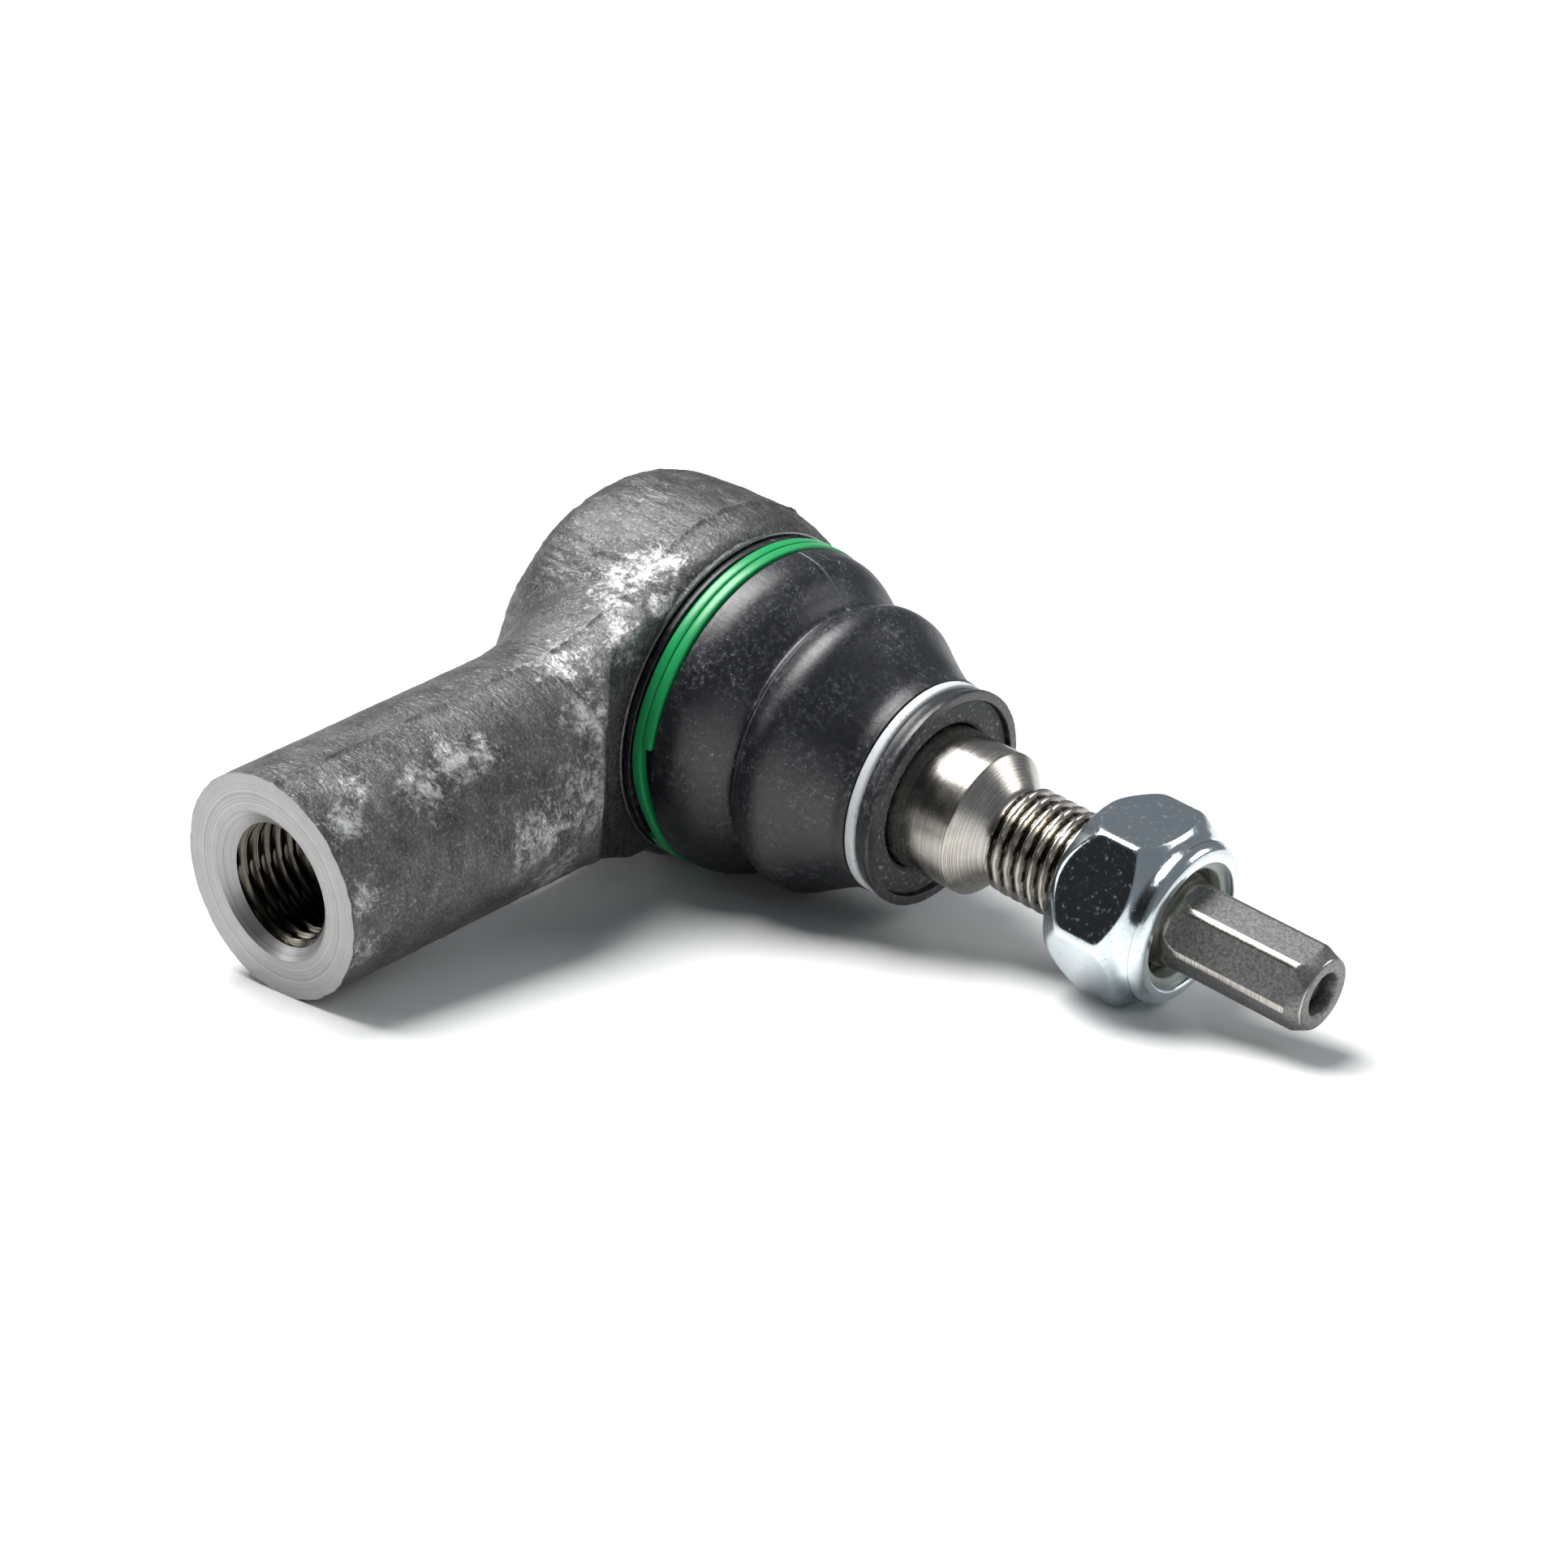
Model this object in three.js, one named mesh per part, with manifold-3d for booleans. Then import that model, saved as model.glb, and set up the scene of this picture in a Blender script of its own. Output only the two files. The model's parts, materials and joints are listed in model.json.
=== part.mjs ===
// Outer tie rod end: a forged housing with a threaded shank, a ball stud held in a two-part
// plastic seat, a bellows boot with two rings, and a lock nut on the stud's thread.
// Millimetres, +Z up. Every piece is drawn in the joint's own frame first: the origin is the
// centre of the ball, +X runs out along the stud and -Y runs out along the shank. The whole
// joint is then laid down as it rests on a bench: on the shank's end, the head and the nut.
import * as THREE from 'three';
import { mergeVertices } from 'three/addons/utils/BufferGeometryUtils.js';
import Module from 'manifold-3d';

const wasm = await Module();
wasm.setup();

// ---- Driving dimensions ---------------------------------------------------------------------
const SEGMENTS = 36;             // facets round a large turned piece
const FINE_SEGMENTS = 24;        // facets round a small one
const GAP = 0.3;                 // clearance left between pieces that touch
const THREAD_GAP = 0.12;         // radial clearance of the nut on the smooth thread cylinder

const BALL_RADIUS = 12.5;
const BALL_FLAT_RADIUS = 6.0;    // flat turned on the back of the ball
const SEAT_WALL = 1.5;
const SEAT_FRONT = 6.5;          // how far the front seat wraps past the ball's middle
const SEAT_SPLIT = 0.5;          // half the slot between the two seats
const SEAT_BACK_LIP = 0.23;      // how far the rear seat stands behind the ball's flat
const SPRING_THICKNESS = 0.6;
const COVER_THICKNESS = 1.6;
const COVER_STEP = 0.9;          // how much wider the cover is than the seat's bore
const CRIMP_LIP = 0.8;           // rolled edge that holds the cover

const HEAD_WALL = 5.8;           // round the bore that holds the seats
const HEAD_FRONT = 4.6;          // front rim, measured from the ball's centre
const HEAD_FRONT_ROUNDING = 1.1;
const NECK_WALL = 4.3;           // collar that the boot is clamped on
const NECK_LENGTH = 4.2;
const MOUTH_LIP = 0.63;          // how far the mouth covers the nose of the front seat

const SHANK_RADIUS = 12.2;       // where it leaves the head
const SHANK_END_RADIUS = 11.9;   // the forging narrows a little towards its end
const SHANK_LENGTH = 63.2;       // ball centre to the shank's end face
const SHANK_CHAMFER = 0.4;
const SHANK_FLARE = 3.2;         // how much the shank widens into the head
const SHANK_BORE_RADIUS = 6.2;   // minor radius of the M14 x 1.5 thread
const SHANK_BORE_DEPTH = 36;
const COUNTERSINK_RADIUS = 7.9;
const RELIEF_CLEARANCE = 3.6;    // recess round the head that keeps the shank off the boot
const RELIEF_SLOPE = 0.62;       // growth of its radius for each millimetre forward

const STUD_NECK_RADIUS = 6.6;
const STUD_SHANK_RADIUS = 8.0;
const STUD_SHANK_START = 25.5;
const STUD_SHANK_END = 40.1;
const THREAD_RADIUS = 5.75;      // M12 x 1.5, drawn smooth at its mean flank
const THREAD_RELIEF_RADIUS = 4.7;
const THREAD_START = 43.2;
const THREAD_END = 64.6;
const DRIVE_FLATS = 8.3;         // hexagon that holds the stud while the nut is turned
const DRIVE_CORNER_RADIUS = 4.62;
const DRIVE_TURN = -7;           // degrees from the shank's direction to the first corner
const STUD_TIP = 81.7;
const TIP_FACE_RADIUS = 3.8;
const TIP_HOLE_RADIUS = 2.35;
const TIP_HOLE_DEPTH = 2.6;

const NUT_FLATS = 19;
const NUT_SEAT = 54.1;           // bearing face, as it stands part way up the thread
const NUT_HEIGHT = 11.7;
const NUT_SEAT_RADIUS = 9.25;
const NUT_CORNER_RADIUS = 10.75;
const NUT_REAR_CHAMFER = 2.7;
const NUT_HEX_END = 7.7;
const NUT_COLLAR_START = 9.1;
const NUT_COLLAR_WALL = 0.9;     // round the nylon insert
const INSERT_WALL = 2.13;
const INSERT_SHOWING = 1.13;     // width of the insert's face inside the rolled lip
const INSERT_LENGTH = 2.4;
const NUT_LIP = 0.7;

const BOOT_WALL = 1.7;
const BOOT_FLANGE_WALL = 2.1;    // where it is clamped on the neck
const BOOT_FOLD_DROP = 2.3;      // how much the second fold is smaller than the flange
const BOOT_VALLEY_DEPTH = 1.4;
const BOOT_VALLEY = 16.9;        // narrowest place between the two folds
const BOOT_FOLD = 19.9;          // widest place of the second fold
const BOOT_LIP_WALL = 1.05;
const BOOT_END = 33.6;
const RING_WIRE_RADIUS = 0.6;
const RING_SINK = 0.4;           // how far the ring's centre line lies under the flange
const RING_CENTRE = 7.65;
const RING_FIRST_END = 216;      // degrees about the stud, from the side away from the shank
const RING_GAP = 42;             // degrees between the wire's two ends, where it crosses over
const SMALL_RING_SINK = 0.15;
const SMALL_RING_DEPTH = 1.1;
const SMALL_RING_WIDTH = 1.25;
const SMALL_RING_START = 30.2;
const NECK_INSERT_WALL = 2.55;
const NECK_INSERT_WIDTH = 0.6;
const NECK_INSERT_RECESS = 0.7;

// ---- Solids ---------------------------------------------------------------------------------
// A closed triangle mesh as a manifold solid, turned the right way out.
function solidOf(geometry) {
  const bare = geometry.clone();
  bare.deleteAttribute('normal');
  bare.deleteAttribute('uv');
  const merged = mergeVertices(bare, 1e-5);
  const position = merged.getAttribute('position');
  const index = merged.getIndex().array;
  const triangles = [];
  let volume = 0;
  const [a, b, c] = [new THREE.Vector3(), new THREE.Vector3(), new THREE.Vector3()];
  for (let i = 0; i < index.length; i += 3) {
    const [p, q, r] = [index[i], index[i + 1], index[i + 2]];
    if (p === q || q === r || r === p) continue;
    triangles.push(p, q, r);
    a.fromBufferAttribute(position, p);
    b.fromBufferAttribute(position, q);
    c.fromBufferAttribute(position, r);
    volume += a.dot(b.cross(c));
  }
  if (volume < 0) triangles.reverse();
  return new wasm.Manifold(new wasm.Mesh({
    numProp: 3,
    vertProperties: new Float32Array(position.array),
    triVerts: new Uint32Array(triangles),
  }));
}

function geometryOf(solid) {
  const { vertProperties, triVerts } = solid.getMesh();
  const geometry = new THREE.BufferGeometry();
  geometry.setAttribute('position', new THREE.BufferAttribute(vertProperties, 3));
  geometry.setIndex(new THREE.BufferAttribute(triVerts, 1));
  geometry.computeVertexNormals();
  return geometry;
}

// A piece turned about +X. The profile lists [x, radius] and either starts and ends on the
// axis or closes on itself.
function turned(profile, segments = SEGMENTS) {
  const onAxis = profile[0][1] === 0;
  const points = profile.map(([x, radius]) => new THREE.Vector2(radius, x));
  if (!onAxis) points.push(points[0].clone());
  const lathe = new THREE.LatheGeometry(points, segments);
  return solidOf(lathe.rotateZ(-Math.PI / 2));
}

// The same, turned about -Y: x becomes the distance out along the shank.
function turnedAlongShank(profile, segments = SEGMENTS) {
  return turned(profile, segments).rotate([0, 0, -90]);
}

// Points on an arc of a circle about [x, radius], from one angle to another in degrees.
function arc(x, radius, size, from, to, steps) {
  return Array.from({ length: steps + 1 }, (_, i) => {
    const angle = THREE.MathUtils.degToRad(from + (to - from) * i / steps);
    return [x + size * Math.cos(angle), radius + size * Math.sin(angle)];
  });
}

// A hexagonal bar from x0 to x1 whose first corner stands `turn` degrees from the shank.
function hexBar(flats, x0, x1, turn) {
  const radius = flats / Math.sqrt(3);
  const bar = new THREE.CylinderGeometry(radius, radius, x1 - x0, 6);
  bar.rotateZ(-Math.PI / 2);
  bar.rotateX(THREE.MathUtils.degToRad(-30 - turn));
  return solidOf(bar.translate((x0 + x1) / 2, 0, 0));
}

const beyond = 1;                // how far a cutter runs past the face that it cuts
const sphereRadiusAt = (x, radius) => Math.sqrt(radius * radius - x * x);

// ---- Housing --------------------------------------------------------------------------------
const seatInner = BALL_RADIUS + GAP;
const seatOuter = seatInner + SEAT_WALL;
const seatBore = seatOuter + GAP;
const ballFlat = sphereRadiusAt(BALL_FLAT_RADIUS, BALL_RADIUS);
const seatBack = ballFlat + SEAT_BACK_LIP;
const springBack = seatBack + GAP + 2 * SPRING_THICKNESS;
const coverFront = springBack + GAP;
const coverRadius = seatBore + COVER_STEP - GAP;
const coverBack = coverFront + COVER_THICKNESS;
const headBack = coverBack + GAP + CRIMP_LIP;
const headRadius = seatBore + HEAD_WALL;
const neckEnd = HEAD_FRONT + NECK_LENGTH;
const seatNoseRadius = sphereRadiusAt(SEAT_FRONT, seatInner) + SEAT_WALL;
const mouthRadius = seatNoseRadius - MOUTH_LIP;
const neckRadius = mouthRadius + NECK_WALL;
const reliefRadius = headRadius + RELIEF_CLEARANCE;
const seatTaperStart = SEAT_FRONT - (seatOuter - seatNoseRadius);

function housing() {
  const head = turned([
    [-headBack, 0],
    [-headBack, headRadius - 4.5],
    [-headBack + 1.6, headRadius - 2.5],
    [-headBack + 3.4, headRadius - 1.1],
    [-headBack + 5.6, headRadius - 0.3],
    [-headBack + 9, headRadius],
    [HEAD_FRONT - 4.4, headRadius - 0.1],
    [HEAD_FRONT - 2.2, headRadius - 0.4],
    [HEAD_FRONT, headRadius - HEAD_FRONT_ROUNDING],
    [HEAD_FRONT, 0],
  ]);
  const shoulder = headRadius + 9;
  const shank = turnedAlongShank([
    [0, 0],
    [0, SHANK_RADIUS + SHANK_FLARE],
    [headRadius - 5, SHANK_RADIUS + SHANK_FLARE],
    [headRadius - 1.5, SHANK_RADIUS + 0.6 * SHANK_FLARE],
    [headRadius + 2, SHANK_RADIUS + 0.25 * SHANK_FLARE],
    [headRadius + 5.5, SHANK_RADIUS + 0.06 * SHANK_FLARE],
    [shoulder, SHANK_RADIUS],
    [SHANK_LENGTH - SHANK_CHAMFER, SHANK_END_RADIUS],
    [SHANK_LENGTH, SHANK_END_RADIUS - SHANK_CHAMFER],
    [SHANK_LENGTH, 0],
  ]);
  const reliefDepth = SHANK_RADIUS + SHANK_FLARE - HEAD_FRONT + beyond;
  const relief = turned([
    [HEAD_FRONT, 0],
    [HEAD_FRONT, reliefRadius],
    [HEAD_FRONT + reliefDepth, reliefRadius + RELIEF_SLOPE * reliefDepth],
    [HEAD_FRONT + reliefDepth, 0],
  ]);
  const neck = turned([
    [HEAD_FRONT - beyond, 0],
    [HEAD_FRONT - beyond, neckRadius],
    [neckEnd - 0.4, neckRadius],
    [neckEnd, neckRadius - 0.4],
    [neckEnd, 0],
  ]);
  const cavity = turned([
    [-headBack - beyond, 0],
    [-headBack - beyond, seatBore - 0.3],
    [-coverBack - GAP, seatBore - 0.3],
    [-coverBack - GAP, coverRadius + GAP],
    [-coverFront + GAP, coverRadius + GAP],
    [-coverFront + GAP, seatBore],
    [seatTaperStart, seatBore],
    [SEAT_FRONT + GAP, seatNoseRadius + GAP],
    [SEAT_FRONT + GAP, mouthRadius],
    [neckEnd - 1, mouthRadius],
    [neckEnd + beyond, mouthRadius + 1.6],
    [neckEnd + beyond, 0],
  ]);
  const boreEnd = SHANK_LENGTH - SHANK_BORE_DEPTH;
  const countersink = COUNTERSINK_RADIUS - SHANK_BORE_RADIUS;
  const bore = turnedAlongShank([
    [boreEnd - 0.45 * SHANK_BORE_RADIUS, 0],
    [boreEnd, SHANK_BORE_RADIUS],
    [SHANK_LENGTH - countersink, SHANK_BORE_RADIUS],
    [SHANK_LENGTH, COUNTERSINK_RADIUS],
    [SHANK_LENGTH + beyond, COUNTERSINK_RADIUS + beyond],
    [SHANK_LENGTH + beyond, 0],
  ], FINE_SEGMENTS);
  return head.add(shank).subtract(relief).add(neck).subtract(cavity).subtract(bore);
}

// ---- Ball joint -----------------------------------------------------------------------------
function seatFront() {
  const start = SEAT_SPLIT;
  const from = THREE.MathUtils.radToDeg(Math.asin(SEAT_FRONT / seatInner));
  const to = THREE.MathUtils.radToDeg(Math.asin(start / seatInner));
  return turned([
    [start, seatOuter],
    [seatTaperStart, seatOuter],
    [SEAT_FRONT, seatNoseRadius],
    ...arc(0, 0, seatInner, 90 - from, 90 - to, 4),
  ]);
}

function seatRear() {
  const backAngle = THREE.MathUtils.radToDeg(Math.asin((seatBack - 1) / seatInner));
  const frontAngle = THREE.MathUtils.radToDeg(Math.asin(SEAT_SPLIT / seatInner));
  const inner = arc(0, 0, seatInner, 90 + frontAngle, 90 + backAngle, 5);
  return turned([
    ...inner,
    [-seatBack, inner.at(-1)[1]],
    [-seatBack, seatOuter - 0.8],
    [-seatBack + 0.8, seatOuter],
    [-SEAT_SPLIT, seatOuter],
  ]);
}

function discSpring() {
  const inner = 8.2;
  const outer = seatOuter - 0.6;
  const front = -seatBack - GAP;
  return turned([
    [front, inner],
    [front - SPRING_THICKNESS, outer],
    [front - 2 * SPRING_THICKNESS, outer],
    [front - SPRING_THICKNESS, inner],
  ], FINE_SEGMENTS);
}

function endCover() {
  const dish = 8.5;
  const bulge = 0.5;
  return turned([
    [-coverFront - bulge, 0],
    [-coverFront - bulge, dish - 1.5],
    [-coverFront, dish],
    [-coverFront, coverRadius],
    [-coverBack, coverRadius],
    [-coverBack, dish + 0.6],
    [-coverBack - bulge, dish - 0.9],
    [-coverBack - bulge, 0],
  ], FINE_SEGMENTS);
}

function ballStud() {
  const neckX = sphereRadiusAt(STUD_NECK_RADIUS, BALL_RADIUS);
  const rearAngle = THREE.MathUtils.radToDeg(Math.acos(-ballFlat / BALL_RADIUS));
  const frontAngle = THREE.MathUtils.radToDeg(Math.acos(neckX / BALL_RADIUS));
  const tipChamfer = DRIVE_CORNER_RADIUS - TIP_FACE_RADIUS;
  const round = turned([
    [-ballFlat, 0],
    ...arc(0, 0, BALL_RADIUS, rearAngle, frontAngle, 12),
    [neckX + 1, STUD_NECK_RADIUS - 0.2],
    [STUD_SHANK_START - 3, STUD_NECK_RADIUS - 0.2],
    [STUD_SHANK_START, STUD_SHANK_RADIUS],
    [STUD_SHANK_END, STUD_SHANK_RADIUS],
    [STUD_SHANK_END + 1.9, THREAD_RELIEF_RADIUS + 0.7],
    [STUD_SHANK_END + 2.5, THREAD_RELIEF_RADIUS],
    [THREAD_START - 0.3, THREAD_RELIEF_RADIUS],
    [THREAD_START + 0.6, THREAD_RADIUS],
    [THREAD_END - 1, THREAD_RADIUS],
    [THREAD_END, DRIVE_CORNER_RADIUS],
    [THREAD_END, 0],
  ]);
  const bar = hexBar(DRIVE_FLATS, THREAD_END - beyond, STUD_TIP + beyond, DRIVE_TURN);
  const barEnvelope = turned([
    [THREAD_END - beyond, 0],
    [THREAD_END - beyond, DRIVE_CORNER_RADIUS],
    [STUD_TIP - 2.1 * tipChamfer, DRIVE_CORNER_RADIUS],
    [STUD_TIP, TIP_FACE_RADIUS],
    [STUD_TIP, 0],
  ], FINE_SEGMENTS);
  const hole = turned([
    [STUD_TIP - TIP_HOLE_DEPTH - 1, 0],
    [STUD_TIP - TIP_HOLE_DEPTH, TIP_HOLE_RADIUS],
    [STUD_TIP + beyond, TIP_HOLE_RADIUS],
    [STUD_TIP + beyond, 0],
  ], FINE_SEGMENTS);
  return round.add(bar.intersect(barEnvelope)).subtract(hole);
}

// ---- Boot and its rings ---------------------------------------------------------------------
const flangeRadius = neckRadius + GAP + BOOT_FLANGE_WALL;
const foldRadius = flangeRadius - BOOT_FOLD_DROP;
const valleyRadius = foldRadius - BOOT_VALLEY_DEPTH;
const studHole = STUD_SHANK_RADIUS + GAP;
const lipOpening = studHole + NECK_INSERT_WALL + GAP;
const lipRadius = lipOpening + BOOT_LIP_WALL;
const ringPitch = 2 * RING_WIRE_RADIUS + 0.08;
const ringRadius = flangeRadius - RING_SINK;
const ringHalfWidth = ringPitch / 2 + RING_WIRE_RADIUS;
const grooveFloor = ringRadius - RING_WIRE_RADIUS - GAP;
const grooveStart = RING_CENTRE - ringHalfWidth - GAP;
const grooveEnd = RING_CENTRE + ringHalfWidth + GAP;
const smallRingRadius = lipRadius - SMALL_RING_SINK;
const smallRingFloor = smallRingRadius - SMALL_RING_DEPTH;
const smallRingEnd = SMALL_RING_START + SMALL_RING_WIDTH;
const neckInsertEnd = BOOT_END - NECK_INSERT_RECESS;
const neckInsertStart = neckInsertEnd - NECK_INSERT_WIDTH;

function boot() {
  const outside = [
    [HEAD_FRONT + GAP, flangeRadius - 0.2],
    [grooveStart, flangeRadius],
    [grooveStart, grooveFloor],
    [grooveEnd, grooveFloor],
    [grooveEnd, flangeRadius],
    [grooveEnd + 2.4, flangeRadius - 0.3],
    [BOOT_VALLEY - 3.3, flangeRadius - 1.2],
    [BOOT_VALLEY - 1.6, valleyRadius + 1.2],
    [BOOT_VALLEY, valleyRadius],
    [BOOT_FOLD - 1.6, foldRadius - 0.6],
    [BOOT_FOLD, foldRadius],
    [BOOT_FOLD + 1.8, foldRadius - 0.2],
    [SMALL_RING_START - 6.1, lipRadius + 2.5],
    [SMALL_RING_START - 3.6, lipRadius + 1.1],
    [SMALL_RING_START - 1.8, lipRadius + 0.2],
    [SMALL_RING_START - GAP, lipRadius],
    [SMALL_RING_START - GAP, smallRingFloor - GAP],
    [smallRingEnd + GAP, smallRingFloor - GAP],
    [smallRingEnd + GAP, lipRadius - 0.4],
    [BOOT_END, lipRadius],
  ];
  const inside = [
    [BOOT_END, lipOpening],
    [neckInsertStart - GAP, lipOpening],
    [neckInsertStart - GAP, studHole],
    [SMALL_RING_START - 1.8, studHole],
    [SMALL_RING_START - 4.2, lipRadius + 1.3 - BOOT_WALL],
    [BOOT_FOLD + 1.5, foldRadius - 0.4 - BOOT_WALL],
    [BOOT_FOLD - 1.4, foldRadius - 0.6 - BOOT_WALL],
    [BOOT_VALLEY - 0.2, valleyRadius - BOOT_WALL],
    [BOOT_VALLEY - 2.1, valleyRadius + 1.2 - BOOT_WALL],
    [neckEnd + GAP + 1, neckRadius],
    [neckEnd + GAP, neckRadius + GAP],
    [HEAD_FRONT + GAP, neckRadius + GAP],
  ];
  return turned([...outside, ...inside]);
}

// The clamp ring is a wire wound nearly twice round the boot. Each turn lies flat, and the
// wire crosses from the first to the second in the gap between its two ends.
class Winding extends THREE.Curve {
  getPoint(t, target = new THREE.Vector3()) {
    const turn = 360 - RING_GAP;
    const degrees = t * (2 * turn + RING_GAP);
    const crossed = THREE.MathUtils.smoothstep(degrees, turn, turn + RING_GAP);
    const x = RING_CENTRE + ringPitch * (crossed - 0.5);
    const angle = THREE.MathUtils.degToRad(RING_FIRST_END + degrees);
    return target.set(x, ringRadius * Math.cos(angle), ringRadius * Math.sin(angle));
  }
}

function bootRingLarge() {
  const section = new THREE.Shape().absarc(0, 0, RING_WIRE_RADIUS, 0, 2 * Math.PI);
  return solidOf(new THREE.ExtrudeGeometry(section, {
    curveSegments: 4, steps: 72, extrudePath: new Winding(),
  }));
}

function bootRingSmall() {
  return turned([
    [SMALL_RING_START, smallRingFloor],
    [SMALL_RING_START, smallRingRadius - 0.25],
    [SMALL_RING_START + 0.3, smallRingRadius],
    [smallRingEnd - 0.3, smallRingRadius],
    [smallRingEnd, smallRingRadius - 0.25],
    [smallRingEnd, smallRingFloor],
  ], FINE_SEGMENTS);
}

function bootNeckInsert() {
  return turned([
    [neckInsertStart, studHole],
    [neckInsertStart, lipOpening - GAP],
    [neckInsertEnd, lipOpening - GAP],
    [neckInsertEnd, studHole + 0.5],
    [neckInsertEnd - 0.5, studHole],
  ], FINE_SEGMENTS);
}

// ---- Lock nut -------------------------------------------------------------------------------
const nutEnd = NUT_SEAT + NUT_HEIGHT;
const nutBore = THREAD_RADIUS + THREAD_GAP;
const insertOuter = nutBore + INSERT_WALL;
const nutOpening = nutBore + INSERT_SHOWING;
const collarRadius = insertOuter + NUT_COLLAR_WALL;
const insertEnd = nutEnd - NUT_LIP - GAP / 2;
const insertStart = insertEnd - INSERT_LENGTH;

function lockNut() {
  const bar = hexBar(NUT_FLATS, NUT_SEAT, NUT_SEAT + NUT_COLLAR_START, 0);
  const envelope = turned([
    [NUT_SEAT, 0],
    [NUT_SEAT, NUT_SEAT_RADIUS],
    [NUT_SEAT + NUT_REAR_CHAMFER, NUT_CORNER_RADIUS],
    [NUT_SEAT + NUT_HEX_END, NUT_CORNER_RADIUS],
    [NUT_SEAT + NUT_COLLAR_START, collarRadius],
    [NUT_SEAT + NUT_COLLAR_START, 0],
  ], FINE_SEGMENTS);
  const collar = turned([
    [NUT_SEAT + NUT_HEX_END - beyond, 0],
    [NUT_SEAT + NUT_HEX_END - beyond, collarRadius],
    ...arc(nutEnd - 1.5, collarRadius - 1.5, 1.5, 90, 0, 4),
    [nutEnd, 0],
  ], FINE_SEGMENTS);
  const cuts = turned([
    [NUT_SEAT - beyond, 0],
    [NUT_SEAT - beyond, nutBore + beyond + 0.6],
    [NUT_SEAT + 0.6, nutBore],
    [insertStart - GAP / 2, nutBore],
    [insertStart - GAP / 2, insertOuter + GAP / 2],
    [insertEnd + GAP / 2, insertOuter + GAP / 2],
    [insertEnd + GAP / 2, nutOpening],
    [nutEnd + beyond, nutOpening],
    [nutEnd + beyond, 0],
  ], FINE_SEGMENTS);
  return bar.intersect(envelope).add(collar).subtract(cuts);
}

function nylonInsert() {
  return turned([
    [insertStart, nutBore],
    [insertStart, insertOuter],
    [insertEnd, insertOuter],
    [insertEnd, nutBore],
  ], FINE_SEGMENTS);
}

// ---- Assembly -------------------------------------------------------------------------------
function piece(name, solid, colour, roughness, metalness) {
  const material = new THREE.MeshStandardMaterial({ color: colour, roughness, metalness });
  const mesh = new THREE.Mesh(geometryOf(solid), material);
  mesh.name = name;
  return mesh;
}

const joint = new THREE.Group();
const housingPiece = piece('housing', housing(), 0x55575a, 0.6, 0.7);
const lockNutPiece = piece('lock_nut', lockNut(), 0xb4bfc6, 0.25, 1);
joint.add(
  housingPiece,
  piece('ball_seat_front', seatFront(), 0xe8e4d8, 0.5, 0),
  piece('ball_seat_rear', seatRear(), 0xe8e4d8, 0.5, 0),
  piece('disc_spring', discSpring(), 0x7d8084, 0.4, 1),
  piece('end_cover', endCover(), 0x5e6063, 0.45, 0.9),
  piece('ball_stud', ballStud(), 0xa9a49d, 0.3, 1),
  piece('boot', boot(), 0x17181b, 0.5, 0),
  piece('boot_ring_large', bootRingLarge(), 0x2a9a5c, 0.4, 0),
  piece('boot_ring_small', bootRingSmall(), 0xc9cacb, 0.6, 0),
  piece('boot_neck_insert', bootNeckInsert(), 0x4a4c4e, 0.8, 0),
  lockNutPiece,
  piece('nylon_insert', nylonInsert(), 0xc3cbc6, 0.5, 0),
);

// Lays the joint on a level bench: finds the direction that is up when the end of the shank,
// the head and the nut all touch it, by evening out their depths a little at a time.
function restingAttitude() {
  const pointsOf = (mesh) => {
    const position = mesh.geometry.getAttribute('position');
    return Array.from({ length: position.count }, (_, i) => (
      new THREE.Vector3().fromBufferAttribute(position, i)));
  };
  const halfway = -SHANK_LENGTH / 2;
  const forging = pointsOf(housingPiece);
  const shankEnd = forging.filter((point) => point.y < halfway);
  const head = forging.filter((point) => point.y > halfway);
  const nut = pointsOf(lockNutPiece);
  const lowest = (group, up) => Math.min(...group.map((point) => point.dot(up)));
  const up = new THREE.Vector3(0, 0, 1);
  for (let round = 0; round < 60; round += 1) {
    const headDepth = lowest(head, up);
    up.x += (headDepth - lowest(nut, up)) / STUD_TIP;
    up.y -= (headDepth - lowest(shankEnd, up)) / SHANK_LENGTH;
    up.normalize();
  }
  return up;
}

const up = restingAttitude();
const forward = new THREE.Vector3(1, 0, 0).projectOnPlane(up).normalize();
const across = new THREE.Vector3().crossVectors(up, forward);
joint.setRotationFromMatrix(new THREE.Matrix4().makeBasis(forward, across, up).transpose());

// The origin is under the middle of the joint's box, at bench level.
const tieRodEnd = new THREE.Group();
tieRodEnd.add(joint);
const box = new THREE.Box3().setFromObject(tieRodEnd, true);
const middle = box.getCenter(new THREE.Vector3());
joint.position.set(-middle.x, -middle.y, -box.min.z);

export default tieRodEnd;
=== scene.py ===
# %% [markdown]
# # A tie rod end, piece by piece
# This lesson builds the looks of a car's outer tie rod end round its CAD frame: a forged
# housing with a threaded shank, a ball stud under a rubber boot, and a lock nut. The frame
# gives every place and size, and moves the pieces. Each cell makes one piece or one finish.

# %% Load the frame
import json
import math

import bmesh
import bpy
from mathutils import Matrix, Vector, noise


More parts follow.
